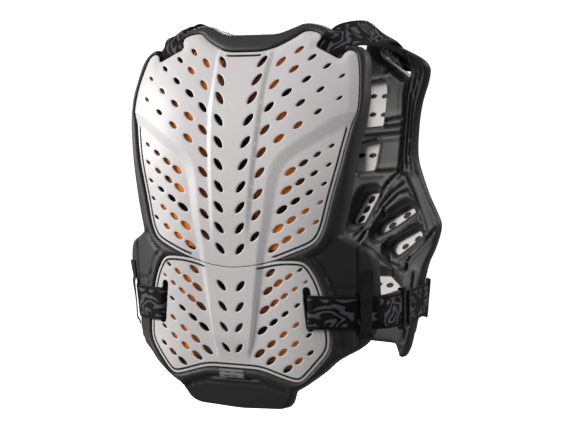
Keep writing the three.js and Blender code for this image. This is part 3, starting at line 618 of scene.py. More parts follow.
def makeShell(name, nodeName, loop, table, slots, seamAt):
    vents = ventsOf(table)
    holes = [ventLoop(v, 0) for v in vents] + slots
    lines = [(ventLoop(v, g), True) for v in vents for g in (0.35, 1.0)]
    lines += [(inset(loop, d), True) for d in (0.5, 1.4)]
    lines += [(inset(loop, shellLook["seamIn"] + d), True) for d in (-1.3, -0.75, 0.75, 1.3)]
    for curve in (crestCurve, footCurve):
        lines += [(curve, False), (curve * (-1, 1), False)]
    for shift in (-1.8, 1.8):
        lines += [(ridgeCurve + (shift, 0), False), (ridgeCurve * (-1, 1) - (shift, 0), False)]
    flat, triangles = plan(loop, holes, lines, 2.3)
    edge = nearest(flat, loop, True)[0]
    seamAndHoleShade = (1 - ease(np.abs(edge - shellLook["seamIn"]), 0.75, 1.3)) * seamAt(flat)
    vent = ventDistance(flat, vents)
    rise = shellRise(flat) - quarter(edge, shellLook["rim"]) - 0.35 * quarter(vent, 1.0)
    x, z = np.abs(flat[:, 0]), flat[:, 1]
    collar = ease(x, 29, 36) * (1 - ease(x, 78, 86)) * ease(z, 180, 188)
    tip = ease(z, 108, 124) * np.clip(1 - edge / (8.5 - 3 * collar), 0, 1)    # the shoulders' long bevel
    tip *= np.where(x < 27, 0, 1)
    rise = rise - (1.5 + 1.2 * collar) * tip - shellLook["seamDeep"] * seamAndHoleShade
    skin = backSkin(flat[:, 0], flat[:, 1])
    near = skin - rise
    far = skin - shellRise(flat) + shellLook["thick"]
    # wall marks the vent walls, darkened in shellFinish as painted shade
    marks = {"seamAndHoleShade": np.clip(seamAndHoleShade * 1.5, 0, 1), "wall": np.where(vent < 0.02, 1.0, 0.0)}
    piece = sandwich(name, flat, triangles, near, np.maximum(far, near + 0.6), marks)
    print(name, len(piece.data.polygons), "faces")
    return dress(piece, [nodeName], "shell")


def upperSeam(flat):
    x, z = np.abs(flat[:, 0]), flat[:, 1]
    side = (1 - ease(z, 98, 103)) * ease(x, 52, 55)
    collar = ease(z, 150, 152) * (1 - ease(x, 22, 24))
    return np.maximum(side, collar)


def lowerSeam(flat):
    x, z = np.abs(flat[:, 0]), flat[:, 1]
    return 1 - (1 - ease(x, 33, 36)) * ease(z, -75, -70)


lowerSlots = [slotLoop(waistSlot), slotLoop(waistSlot) * (-1, 1)]
makeShell("upperShell", "back_upper_plate", upperLoop, upperVents, [], upperSeam)
makeShell("lowerShell", "back_lower_plate", lowerLoop, lowerVents, lowerSlots, lowerSeam)


# Foam under the shells: orange strips with dark channels between, and painted shade where the foam lies deep
# under the shell.
foamLook = {"top": 2.9, "thick": 6.0, "slope": 0.63, "channels": [98, -29, -147], "half": 9.5}


def drift(x, z, size):
    # a slow wander between -1 and 1
    return (np.sin(x / size + 1.3 * np.sin(z / size * 0.7)) + np.sin(z / size * 1.3 - x / size * 0.6 + 2)) / 2


def foamDark(flat):
    # the black channels between the orange strips are the foam's own colour; the rest of this mask is painted
    # shade: browner outward and more so on the right side, dark in the middle column and brown in the next
    # column out, where the foam lies deep under the raised shell; it is also darker in bands on the lower
    # foam and round the waist slots
    x, z = np.abs(flat[:, 0]), flat[:, 1]
    row = z - foamLook["slope"] * x
    dark = np.zeros(len(flat))
    for channel in foamLook["channels"]:
        dark = np.maximum(dark, 1 - ease(np.abs(row - channel), foamLook["half"] - 1, foamLook["half"] + 1.5))
    right = flat[:, 0] > 0
    # painted shade: browner outward, stronger on the right side
    outward = ease(x, 60, 100) * ease(z, 12, 40) * np.where(right, 0.8, 0.35)
    dark = np.maximum(dark, outward + 0.2 * drift(flat[:, 0], z, 9))
    # painted shade in the middle column under the raised shell
    column = 1 - ease(x, 28, 31)
    dark = np.maximum(dark, column * (0.5 + 0.5 * (1 - ease(z, 110, 135)) - 0.4 * (1 - ease(z, -125, -60))))
    # painted shade: brown in the column next to the middle one
    columnShade = (ease(x, 28, 31) - ease(x, 50, 54)) * (1 - ease(z, 128, 134)) * ease(z, -38, -34)
    dark = np.maximum(dark, 0.4 * columnShade)
    low = 1 - ease(z, -60, -50)
    inner, foot = 0.5 * (1 - ease(x, 46, 60)), 0.55 * (1 - ease(z, -158, -146))
    outer = 0.85 * ease(x, 82, 96) * (1 - ease(z, -80, -66))
    blocks = np.maximum(np.maximum(inner, foot), outer)
    dark = np.maximum(dark, low * (blocks + 0.12 * drift(flat[:, 0], z, 7)))
    slot = ease(x, 84, 88) * (1 - ease(x, 104, 108)) * ease(z, -126, -120) * (1 - ease(z, -74, -68))
    return np.maximum(dark, slot)


def makeFoam(name, nodeName, edgeLine):
    loop = rounded(whole(edgeLine), 5, 3.0)
    flat, triangles = plan(loop, [], [(inset(loop, 1.2), True)], 2.6)
    edge = nearest(flat, loop, True)[0]
    # dark: black foam channels and painted shade, as foamDark sets them
    dark = foamDark(flat)
    skin = backSkin(flat[:, 0], flat[:, 1])
    rise = np.maximum(0, shellRise(flat))
    near = skin + foamLook["top"] - 0.85 * rise + 3.2 * dark + quarter(edge, 1.2)
    far = np.maximum(skin + foamLook["top"] + foamLook["thick"], near + 1)
    piece = sandwich(name, flat, triangles, near, far, {"dark": dark})
    return dress(piece, [nodeName], "foam")


makeFoam("upperFoam", "back_foam_upper", upperFoamEdge)
makeFoam("lowerFoam", "back_foam_lower", lowerFoamEdge)
print("shells and foam done")

# Back pad.
padLook = {"bed": 2.9, "valley": 1.9, "top": -1.8, "collar": -2.8, "inner": 14.9, "edge": 2.8,
           "bead": 9.0, "panel": 0.2, "innerEdge": 2.2}
wingCreases = [[(145.3, -29), (144.4, -84.7), (143.7, -140)]]
wingSeams = [[(124, -70.8), (143.8, -70.6)]]
tailCrease = [(-75, -191), (-70.6, -190.2), (-40, -182.6), (0, -181.3), (40, -182.6), (70.6, -190.2),
              (75, -191)]
shoulderBed = np.array([(98, 166), (103.3, 180.9), (105.3, 187.5), (106, 200)], float)


def makeBackPad():
    loop = inset(rounded(whole(backPadEdge), 3.4, 2.4), -0.8)
    plates = [inset(upperLoop, -0.5), inset(lowerLoop, -0.5)]
    foamBeds = [inset(rounded(whole(line), 5, 3.0), -0.6) for line in (upperFoamEdge, lowerFoamEdge)]
    lines = [(line, True) for line in plates + foamBeds]
    lines += [(inset(line, -d), True) for line in plates for d in (0.9, 2.0, 3.6)]
    lines += [(inset(loop, d), True) for d in (1.2, 3.2, 6)]
    for crease in wingCreases + wingSeams:
        for side in (1, -1):
            lines.append((resample(np.array(crease) * (side, 1), 2.5, False), False))
    lines.append((resample(tailCrease, 2.5, False), False))
    flat, triangles = plan(loop, [], lines, 2.9)
    x, z = flat[:, 0], flat[:, 1]
    out = np.abs(x)
    folded = np.stack([out, z], 1)
    edge = nearest(flat, loop, True)[0]
    covered = within(flat, plates[0]) | within(flat, plates[1])
    plate = np.minimum(nearest(flat, plates[0], True)[0], nearest(flat, plates[1], True)[0])
    plate = np.where(covered, 0, plate)
    band = plate + edge
    collar = ease(z, 176, 186) * (1 - ease(out, 78, 86))
    top = padLook["top"] + (padLook["collar"] - padLook["top"]) * collar * ease(band, 8, 14)
    wide = ease(band, 15, 20) * (1 - ease(z, 120, 140))
    beyond = ease(plate, padLook["bead"], padLook["bead"] + 3)
    surface = top + wide * beyond * (padLook["panel"] - top)
    valley = wide * groove(plate - padLook["bead"] - 1.2, 1.9)
    surface = surface + 2.6 * valley
    # crease: painted shade in the valley beside the shells, the wing creases and the tail crease, and dark
    # along the wing seams
    crease = valley * 0.9
    for line in wingCreases:
        gap = nearest(folded, line)[0]
        surface = surface + 2.0 * groove(gap, 1.5) - 1.0 * groove(gap - 3.4, 1.9)
        crease = np.maximum(crease, groove(gap, 1.3))
    for line in wingSeams:
        gap = nearest(folded, line)[0]
        surface = surface + 0.7 * groove(gap, 0.9)
        crease = np.maximum(crease, groove(gap, 0.8))
    gap = nearest(flat, tailCrease)[0]
    tail = ease(np.interp(x, [p[0] for p in tailCrease], [p[1] for p in tailCrease]) - z, -1.6, 1.6)
    surface = surface + tail * 1.2 + 1.6 * groove(gap + 1.5, 2.2) - 0.7 * groove(gap - 3.5, 2.2) * tail
    crease = np.maximum(crease, groove(gap, 1.2) * (out < 76))
    climb = np.clip(band * 0.5, 2.6, 5.5)
    nearPlate = padLook["valley"] - (padLook["valley"] - surface) * np.sqrt(
        np.maximum(0, 1 - (1 - np.clip(plate / climb, 0, 1)) ** 2))
    surface = np.maximum(nearPlate, surface + quarter(edge, padLook["edge"]))
    under = within(flat, foamBeds[0]) | within(flat, foamBeds[1])
    surface = np.where(covered, np.where(under, 9.6, padLook["bed"] + 0.2), surface)
    bed = (1 - ease(nearest(folded, shoulderBed)[0], 21, 22.5)) * ease(out - z, -107, -105)
    surface = surface + bed * np.maximum(0, 7.0 - surface)
    skin = backSkin(x, z)
    near = skin + surface
    # inside: blocks with air channels between
    inner = padLook["inner"] - quarter(edge, padLook["innerEdge"])
    channel = groove(out, 4.5)
    slope = z - 0.34 * out
    for height in (150, 105, 60, 15, -30, -75, -120, -165):
        channel = np.maximum(channel, groove(slope - height, 2.6) * ease(edge, 8, 12))
    channel = np.maximum(channel, groove(out - 74 + 0.08 * np.abs(z), 2.6) * ease(edge, 8, 12))
    inner = inner - 3.0 * channel
    far = np.maximum(skin + inner, near + 0.8)
    # the inner face gets painted shade in its air channels
    crease = np.concatenate([crease, channel])
    piece = sandwich("backPad", flat, triangles, near, far)
    piece.data.attributes.new("crease", "FLOAT", "POINT").data.foreach_set("value", crease.astype(np.float32))
    print("backPad", len(piece.data.polygons), "faces")
    return dress(piece, ["back_pad"], "padding", 50)


makeBackPad()

# Chest pad and its shell.
chestLook = {"thick": 12.0, "edge": 3.2, "rim": 1.6, "dish": 4.8, "plate": 12.3, "plateThick": 2.4}
ribLine = [(108, 190), (106.6, 180.6), (99, 157), (92.9, 138.3), (90.4, 104.6), (86, 70), (83.5, 47.4),
           (66.7, 34.3)]
borderLine = [(83.5, 47.4), (96.5, 43.5), (109.8, 22.8), (132.1, -20.3)]
chestCreases = [
    [(30, 97.1), (89, 102.5)], [(30, 89), (88, 93)], [(26.2, 45.4), (83.5, 49.6)],
    [(66.5, 164), (90, 172)], [(64, 108), (87.5, 111)],
    [(25.1, -37.8), (53.4, 4.1), (72, 22), (92.2, 34.9)], [(20, -30), (46, 10), (66.7, 34.3)],
    [(58, -6), (61.6, 4.2), (83.6, 22), (99.5, 25.6), (110, 12.3), (129.1, -20.4)],
    [(30.4, -39.7), (77.8, -67.4), (75.4, -76)], [(92.1, -66.6), (105.9, -48.9), (129.4, -30.8), (146, -16)],
    [(62, -40), (70, -58), (86, -62)], [(112, -70), (108, -100), (101, -150)],
]


flapLine = [(95, -150), (92, -110), (91, -80), (92.1, -66.6), (105.9, -48.9), (129.4, -30.8), (146, -16)]
flap = flapLine + [(170, -10), (170, -190), (95, -190)]
rivetPlace = (94.4, -62.7)
padSlot = {"x": 80.7, "z": 175, "long": 46, "wide": 13.2, "lean": -34.6}
shellSlot = {"x": 82.8, "z": 174.7, "long": 40, "wide": 6.5, "lean": -34.6}
armEdge = [(113.5, 49), (108, 64), (107.5, 83), (111, 113), (117, 133.7), (127.5, 151.7), (133.5, 169)]


def widened(window, reach):
    # the pad is thick, so its wall hides that much of the shell behind a window
    rising = np.roll(window, -1, 0)[:, 1] > np.roll(window, 1, 0)[:, 1]
    return window - np.outer(rising, (reach, 0))


def ribbedLine(share):
    # a line part of the way from the rib line to the arm's edge
    z = np.arange(50.0, 170.0, 2.6)
    near = np.interp(z, [p[1] for p in reversed(ribLine)], [p[0] for p in reversed(ribLine)])
    edge = np.interp(z, [p[1] for p in armEdge], [p[0] for p in armEdge])
    return np.stack([near + share * (edge - near), z], 1)


def makeChestPad():
    loop = inset(rounded(whole(chestPadEdge), 5, 2.4), -0.6)
    panes = [rounded(w, 2.2, 2.0) for w in windows[:2]]
    panes += [rounded(widened(np.array(w, float), 4.5), 3.5, 2.0) for w in windows[2:]]
    opening = slotLoop(padSlot)
    holes = panes + [w * (-1, 1) for w in panes] + [opening, opening * (-1, 1)]
    lines = [(inset(loop, d), True) for d in (1.2, 3)]
    lines += [(inset(h, -d), True) for h in holes for d in (0.8, 2.2)]
    for line in chestCreases + [ribLine, borderLine]:
        for side in (1, -1):
            lines.append((resample(np.array(line) * (side, 1), 2.4, False), False))
    for side in (1, -1):
        for share in np.arange(1, 8) / 8:
            lines.append((ribbedLine(share) * (side, 1), False))
    plateLoop = rounded(whole(chestPlateEdge), 6, 2.4)
    lines.append((inset(plateLoop, -0.5), True))
    flat, triangles = plan(loop, holes, lines, 2.2)
    x, z = flat[:, 0], flat[:, 1]
    folded = np.stack([np.abs(x), z], 1)
    out = np.abs(x)
    edge = nearest(flat, loop, True)[0]
    pane, deep = np.full(len(flat), 1e9), np.full(len(flat), 1e9)
    for k, hole in enumerate(panes + [opening]):
        gap = nearest(folded, hole, True)[0]
        pane = np.minimum(pane, gap)
        deep = np.minimum(deep, gap) if 1 < k < len(panes) else deep
    rise = np.zeros(len(flat))
    ribX = np.interp(z, [p[1] for p in reversed(ribLine)], [p[0] for p in reversed(ribLine)])
    toRib = nearest(folded, ribLine)[0]
    band = (out > ribX) & (z > 40)
    share = toRib / np.maximum(1e-6, toRib + edge)
    ribs = np.where(band, 0.5 - 0.5 * np.cos(2 * math.pi * 4 * share), 0) * ease(z, 40, 52)
    rise += 2.2 * ribs + 1.0 * groove(pane - 2.4, 1.6) * (deep > 12)
    rise -= chestLook["dish"] * (1 - ease(deep, 6.0, 12.5)) + 4.2 * (1 - ease(deep, 0.2, 4.5))
    hollow = nearest(folded, opening, True)[0]
    rise -= 10.0 * np.clip(1 - (hollow - 0.4) / 6.5, 0, 1)
    # crease: painted shade between the ribs, in the creases and in the ring round the rivet
    crease = np.where(band, (1 - ribs) * 0.6 * ease(z, 40, 52), 0.0)
    toBorder = nearest(folded, borderLine)[0]
    for gap in [toRib, toBorder] + [nearest(folded, line)[0] for line in chestCreases]:
        rise -= 1.8 * groove(gap, 1.5) * ease(deep, 2, 6)
        rise += 0.8 * groove(gap - 4.2, 3.0)
        crease = np.maximum(crease, groove(gap, 1.1))
    panel = ease(out, 66, 68) * (1 - ease(out, ribX - 11, ribX - 5))
    panel *= ease(z, 108, 110) * (1 - ease(z, 160, 162))
    rise += 1.2 * panel
    rise += 2.4 * within(folded, np.array(flap)) * ease(nearest(folded, flapLine)[0], 0, 4.5)
    toRivet = np.hypot(out - rivetPlace[0], z - rivetPlace[1])
    rise *= ease(toRivet, 5.5, 8.0)
    rise -= 1.6 * groove(toRivet - 6.6, 1.6)
    crease = np.maximum(crease, groove(toRivet - 6.6, 1.4))
    skin = chestSkin(x, z)
    near = skin - rise + quarter(edge, chestLook["edge"]) + quarter(pane, chestLook["rim"])
    covered = within(flat, inset(plateLoop, -0.5))
    plate = np.where(covered, 0, nearest(flat, plateLoop, True)[0])
    outer = 12.0 + 1.6 * np.sqrt(np.maximum(0, 1 - (1 - np.clip(plate / 3, 0, 1)) ** 2)) - quarter(edge, 4.5)
    outer = np.where(covered, chestLook["thick"], outer)
    far = np.maximum(skin + outer, near + 0.8)
    piece = sandwich("chestPad", flat, triangles, near, far)
    marks = np.concatenate([crease, np.zeros(len(flat))])
    piece.data.attributes.new("crease", "FLOAT", "POINT").data.foreach_set("value", marks.astype(np.float32))
    print("chestPad", len(piece.data.polygons), "faces")
    return dress(piece, ["chest_pad"], "padding", 50)


def makeChestShell():
    loop = rounded(whole(chestPlateEdge), 6, 2.2)
    vents = ventsOf(chestVents)
    holes = [slotLoop(shellSlot), slotLoop(shellSlot) * (-1, 1)]
    fold = [(62, 190), (46, 150), (38, 100), (34, 40), (40, -10), (58, -60), (64, -140)]
    foldCurve = rounded(fold, 8, 2.4, False)
    lines = [(ventLoop(v, g), True) for v in vents for g in (-0.3, 0, 1.0)]
    lines += [(inset(loop, d), True) for d in (0.5, 1.4, 3.8, 4.3, 5.5, 6.0)]
    for shift in (-2.5, 2.5):
        lines += [(foldCurve + (shift, 0), False), (foldCurve * (-1, 1) - (shift, 0), False)]
    flat, triangles = plan(loop, holes, lines, 2.5)
    x, z = flat[:, 0], flat[:, 1]
    edge = nearest(flat, loop, True)[0]
    vent = ventDistance(flat, vents)
    foldX = np.interp(z, [p[1] for p in reversed(fold)], [p[0] for p in reversed(fold)])
    raised = np.clip((foldX + 2.5 - np.abs(x)) / 5, 0, 1)
    seamAndHoleShade = 1 - ease(np.abs(edge - 4.9), 0.55, 1.15)
    rise = 2.0 * raised - quarter(edge, 1.3) - 0.35 * quarter(vent, 1.0) - 0.8 * seamAndHoleShade
    skin = chestSkin(x, z)
    # the vents are closed by a thin film at mid-thickness and marked black with the same mark as the seams:
    # painted shade in the vent holes
    pit = vent < 0.01
    near = skin + chestLook["plate"]
    far = np.maximum(near + 0.6, near + chestLook["plateThick"] + rise)
    film = (near + far) / 2
    near, far = np.where(pit, film - 0.2, near), np.where(pit, film + 0.2, far)
    piece = sandwich("chestShell", flat, triangles, near, far)
    hole = np.where(pit, 1.0, 0.0)
    both = np.concatenate([hole, np.maximum(hole, np.clip(seamAndHoleShade * 1.5, 0, 1))])
    piece.data.attributes.new("seamAndHoleShade", "FLOAT", "POINT").data.foreach_set("value", both.astype(np.float32))
    print("chestShell", len(piece.data.polygons), "faces")
    return dress(piece, ["chest_plate"], "shell")


makeChestPad()
makeChestShell()
print("chest done")

# Straps.
strapLook = {"width": 37.0, "thick": 2.0, "step": 2.2, "across": 14}
shoulderRun = [
    (98, None, 170, 5.2, 24), (103.3, None, 180.9, 5.2, 24), (105.3, -70.5, 187.5, 0, 24),
    (106, -58, 194.5, 0, 28), (105.5, -38, 201.5, 0, 38), (103.5, -12, 204.5, 0, 47),
    (100.5, 14, 206.5, 0, 49), (96, 38, 208, 0, 46), (90.5, 60, 209, 0, 39), (86, 76, 207.5, 0, 33),
    (84, 86, 205.8, 0, 28), (83.4, 96.5, 201.6, 0, 28), (83.2, 104.6, 195, 0, 28),
    (83.2, 114, 187.4, 0, 30),
    (83.4, 123, 181.4, 0, 33), (83.6, 126.4, 178.8, 0, 34.6), (83.8, 123, 176.4, 0, 34.6),
    (83.8, 108, 176.2, 0, 34.6), (83.6, 104, 178.4, 0, 34.6), (83.4, 97.6, 184, 0, 33),
    (83.2, 90.6, 189.2, 0, 32),
]
# the left strap's own places, heights and leans between the pads, by its place along the run
leftRun = {2: (109.5, 189, 24), 3: (111.7, 203.4, 28), 4: (113, 211, 22), 5: (110.5, 216, 0),
           6: (106, 214.5, -14), 7: (98.5, 208.5, -12), 8: (91.5, 204.2, -3), 9: (86.5, 202.6, 8),
           10: (84, 201.2, 17), 11: (83.4, 198.6, 22), 12: (83.2, 193.6, 26)}
waistHeight = -99.0
waistRun = [
    (94.4, None, 11.2), (95.2, None, 1.5), (98.5, None, -2.1), (105, None, -2.1), (112, None, -2.1),
    (126, None, -2.1), (138, None, -2.1), (148, None, -2.1), (155, None, -2.1), (160.5, None, -2.6),
    (164.2, -52, 0), (163.8, -36, 0), (161, -16, 0), (152.4, 22, 0), (145.5, 45, 0), (137.6, 70, 0),
    (131, 90, 0),
]
waistEnd = [(126.8, -4.4), (123, 3.4), (116.8, 6.1), (107.8, 7.1)]     # heights over the chest shell


def curveThrough(points, step):
    # a smooth curve through the points, sampled evenly
    points = np.array(points, float)
    padded = np.vstack([2 * points[0] - points[1], points, 2 * points[-1] - points[-2]])
    made = []
    for i in range(1, len(padded) - 2):
        a, b, c, d = padded[i - 1:i + 3]
        for t in np.linspace(0, 1, 12, endpoint=False):
            made.append(0.5 * (2 * b + (c - a) * t + (2 * a - 5 * b + 4 * c - d) * t * t
                               + (3 * b - a - 3 * c + d) * t**3))
    made.append(padded[-2])
    made = np.array(made)
    along = np.concatenate([[0], np.cumsum(np.linalg.norm(np.diff(made[:, :3], axis=0), axis=1))])
    at = np.linspace(0, along[-1], round(along[-1] / step) + 1)
    return np.stack([np.interp(at, along, made[:, k]) for k in range(made.shape[1])], 1)


def ribbon(name, middle, across, wave, side, look):
    # a woven band: middle line, direction of its width, small waves across it
    steps, width, thick, count = len(middle), look["width"], look["thick"], look["across"]
    tangent = np.gradient(middle, axis=0)
    tangent /= np.linalg.norm(tangent, axis=1)[:, None]
    across /= np.linalg.norm(across, axis=1)[:, None]
    outward = np.cross(tangent, across)
    outward /= np.linalg.norm(outward, axis=1)[:, None]
    along = np.concatenate([[0], np.cumsum(np.linalg.norm(np.diff(middle, axis=0), axis=1))])
    section = []
    for k in range(count + 1):
        section.append((k / count, 1.0))
    for k in range(count, -1, -1):
        section.append((k / count, -1.0))
    vertices, uvs = [], []
    for i in range(steps):
        for share, face in section:
            rim = min(share, 1 - share) * width
            body = thick / 2 * (1 - 0.55 * math.exp(-((rim / 0.9) ** 2)))
            offset = wave(along[i], share) + face * body
            p = middle[i] + across[i] * (share - 0.5) * width + outward[i] * offset
            vertices.append((side * p[0], p[1], p[2]))
            uvs.append((along[i] / 100, share * width / 100))
    ring = len(section)
    faces = []
    for i in range(steps - 1):
        for k in range(ring):
            a, b = i * ring + k, i * ring + (k + 1) % ring
            faces.append((a, b, b + ring, a + ring))
    faces.append(tuple(range(ring))[::-1])
    faces.append(tuple((steps - 1) * ring + k for k in range(ring)))
    vertices = np.array(vertices)
    if side < 0:
        faces = [f[::-1] for f in faces]
    piece = newPiece(name, put(vertices[:, 0], vertices[:, 1], vertices[:, 2]), faces)
    layer = piece.data.uv_layers.new(name="UVMap")
    for loop in piece.data.loops:
        layer.data[loop.index].uv = uvs[loop.vertex_index]
    bpy.context.view_layer.objects.active = piece
    piece.select_set(True)
    bpy.ops.object.mode_set(mode="EDIT")
    bpy.ops.mesh.select_all(action="SELECT")
    bpy.ops.mesh.normals_make_consistent(inside=False)
    bpy.ops.object.mode_set(mode="OBJECT")
    piece.select_set(False)
    return piece


def shoulderStrap(side):
    stations = []
    for k, (x, y, z, bed, lean) in enumerate(shoulderRun):
        if side < 0 and k in leftRun:
            x, z, lean = leftRun[k]
        y = backSkin(np.array(x), np.array(z)) + bed if y is None else y
        stations.append((x, float(y), z, math.radians(lean)))
    line = curveThrough(stations, strapLook["step"])
    lean = line[:, 3]
    across = np.stack([np.cos(lean), 0 * lean, -np.sin(lean)], 1)
    for i in range(len(line)):                       # where it lies on the back, its width follows the back
        if line[i, 2] < 184 and line[i, 1] < 0:
            run = np.array([math.cos(lean[i]), -math.sin(lean[i])]) * 18
            ahead, behind = line[i, [0, 2]] + run, line[i, [0, 2]] - run
            rise = backSkin(ahead[0], ahead[1]) - backSkin(behind[0], behind[1])
            across[i] = (run[0] * 2, float(rise), run[1] * 2)

    def wave(along, share):
        swell = 0.35 * math.sin(along / 9.0) * math.sin(share * math.pi * 2)
        if side < 0:
            loose = math.exp(-(((along - 48) / 34) ** 2))
            folds = 1.3 * math.sin(along / 4.2 + share * 5) + 0.9 * math.sin(share * 11 - along / 9)
            return swell + loose * folds
        return swell
    name = "shoulderStrapRight" if side > 0 else "shoulderStrapLeft"
    piece = ribbon(name, line[:, :3], across, wave, side, strapLook)
    node = "shoulder_strap_right" if side > 0 else "shoulder_strap_left"
    return dress(piece, [node], "elastic", 60)


def waistLine():
    stations = []
    for x, y, bed in waistRun:
        y = float(backSkin(np.array(x), np.array(waistHeight))) + bed if y is None else y
        stations.append((x, y, waistHeight))
    for x, over in waistEnd:
        stations.append((x, float(chestSkin(np.array(x), np.array(waistHeight))) + 14.9 + over, waistHeight))
    return curveThrough(stations, strapLook["step"])


def waistStrap(side):
    line = waistLine()
    across = np.tile([0.0, 0.0, 1.0], (len(line), 1))
    for i, (x, y, z) in enumerate(line):
        if y < -60:
            rise = backSkin(x, z + 18) - backSkin(x, z - 18)
            across[i] = (0, float(rise) * 0.7, 36)

    def wave(along, share):
        return 0.3 * math.sin(along / 14.0) * math.sin(share * math.pi * 2)
    name = "waistStrapRight" if side > 0 else "waistStrapLeft"
    piece = ribbon(name, line, across, wave, side, strapLook)
    node = "waist_strap_right" if side > 0 else "waist_strap_left"
    return dress(piece, [node], "elastic", 60)


keeperLook = {"x": 156.0, "top": -53.0, "inwards": 0.06, "width": 13.0, "thick": 1.5, "across": 8}

# height and lift off the back, down the loop
keeperRun = [(-53, -1.4), (-64, -1.5), (-71.5, -1.8), (-77.5, -4.2), (-88, -4.6), (-99, -4.7), (-110, -4.6),
             (-119, -4.3), (-122, -2.6), (-124, -1.6), (-127, -1.4)]


def keeper(side):
    stations = []
    for z, lift in keeperRun:
        x = keeperLook["x"] - keeperLook["inwards"] * (keeperLook["top"] - z)
        fall = float(backSkin(x + 4, z) - backSkin(x - 4, z))
        stations.append((x, float(backSkin(x, z)) + lift * math.hypot(1, fall / 8), z))
    line = curveThrough(stations, 1.6)
    across = np.array([(8.0, float(backSkin(x + 4, z) - backSkin(x - 4, z)), 0.0) for x, y, z in line])
    name = "keeperRight" if side > 0 else "keeperLeft"
    piece = ribbon(name, line, across, lambda along, share: 0.0, side, keeperLook)
    return dress(piece, ["keeper_right" if side > 0 else "keeper_left"], "webbing", 60)


for side in (1, -1):
    shoulderStrap(side)
    waistStrap(side)
    keeper(side)
print("straps done")

# Fittings.
def seat(share, side):
    # the frame of the waist strap at a share of its line: x along, y outwards, z up
    line = waistLine()
    i = min(len(line) - 2, int(share))
    along = Vector(line[i + 1] - line[i]).normalized()
    upright = Vector((0, 0, 1))
    out = along.cross(upright).normalized()
    basis = Matrix((-along, out, upright)).transposed().to_4x4()
    basis.translation = Vector(line[i])
    sided = Matrix.Diagonal((side, 1, 1, 1)) @ basis
    toFrame = Matrix.Translation(put(*np.zeros(3))) @ Matrix.Scale(0.001, 4)
    return toFrame @ sided


def bar(sizes, middle, bevel):
    bpy.ops.object.select_all(action="DESELECT")
    bpy.ops.mesh.primitive_cube_add(size=1, location=middle)
    made = bpy.context.object
    made.scale = sizes
    bpy.ops.object.transform_apply(location=True, scale=True)
    bpy.ops.object.mode_set(mode="EDIT")
    bpy.ops.mesh.select_all(action="SELECT")
    bpy.ops.mesh.bevel(offset=bevel, segments=3, affect="EDGES")
    bpy.ops.object.mode_set(mode="OBJECT")
    return made


def joinUp(name, parts, place):
    bpy.ops.object.select_all(action="DESELECT")
    for part in parts:
        part.select_set(True)
    bpy.context.view_layer.objects.active = parts[0]
    bpy.ops.object.join()
    piece = bpy.context.object
    piece.name = name
    piece.data.transform(place)
    bpy.ops.object.mode_set(mode="EDIT")
    bpy.ops.mesh.select_all(action="SELECT")
    bpy.ops.mesh.normals_make_consistent(inside=False)
    bpy.ops.object.mode_set(mode="OBJECT")
    return piece


sliderLook = {"half": 11.5, "bar": 3.4, "thick": 3.0, "reach": 19.7, "rail": 3.6, "off": 1.3}


def indexNear(y):
    line = waistLine()
    return int(np.argmin(np.abs(line[:, 1] - y)))


def hookIndex():
    # half way between the strap's last two stations
    line = waistLine()
    middle = (waistEnd[-1][0] + waistEnd[-2][0]) / 2
    return int(np.argmin(np.abs(line[:, 0] - middle) + 100 * (line[:, 1] < 0)))


def slider(side):
    s = sliderLook
    tall = 2 * (s["reach"] + s["rail"])
    front = s["off"] + s["thick"] / 2
    parts = [bar((s["bar"], s["thick"], tall), (end * (s["half"] - s["bar"] / 2), front, 0), 1.0)
             for end in (1, -1)]
    parts.append(bar((s["bar"], s["thick"], tall), (0, -s["off"] - s["thick"] / 2, 0), 1.0))
    for end in (1, -1):
        deep = 2 * (s["off"] + s["thick"])
        parts.append(bar((2 * s["half"], deep, s["rail"]), (0, 0, end * (s["reach"] + s["rail"] / 2)), 1.0))
    piece = joinUp("sliderRight" if side > 0 else "sliderLeft", parts, seat(indexNear(-6.5), side))
    return dress(piece, ["slider_right" if side > 0 else "slider_left"], "fitting")


hookLook = {"half": 9.5, "thick": 3.0, "rail": 3.6, "bar": 4.0, "reach": 19.7, "tongue": 9.0, "out": 20.0,
            "peg": 3.0, "pegLong": 7.0, "off": 1.3, "lean": 0.13}


def hook(side):
    h = hookLook
    tall = 2 * (h["reach"] + h["rail"])
    front, long = h["off"] + h["thick"] / 2, h["out"] + 5
    parts = [bar((2 * h["half"], h["thick"], tall), (0, front, 0), 1.4),
             bar((long, h["thick"], 2 * h["tongue"]), (-long / 2, front, 0), 1.2),
             bar((h["bar"], h["thick"] / 2, tall), (0, -h["off"] - h["thick"] / 4, 0), 0.6)]
    parts[0].data.transform(Matrix.Rotation(h["lean"], 4, "Y"))
    for end in (1, -1):
        deep = 2 * h["off"] + h["thick"] * 1.5
        parts.append(bar((h["bar"], deep, h["rail"]),
                         (0, h["thick"] * 0.25, end * (h["reach"] + h["rail"] / 2)), 0.8))
    bpy.ops.mesh.primitive_cylinder_add(vertices=24, radius=h["peg"], depth=h["pegLong"] + h["off"],
                                        location=(-h["out"], -(h["pegLong"] - h["off"]) / 2, 0),
                                        rotation=(math.pi / 2, 0, 0))
    peg = bpy.context.object
    bpy.ops.object.transform_apply(location=True, rotation=True)
    parts.append(peg)
    piece = joinUp("hookRight" if side > 0 else "hookLeft", parts, seat(hookIndex(), side))
    return dress(piece, ["hook_right" if side > 0 else "hook_left"], "fitting")


rivetLook = {"x": 94.4, "z": -62.7, "head": 4.8, "shank": 2.0}


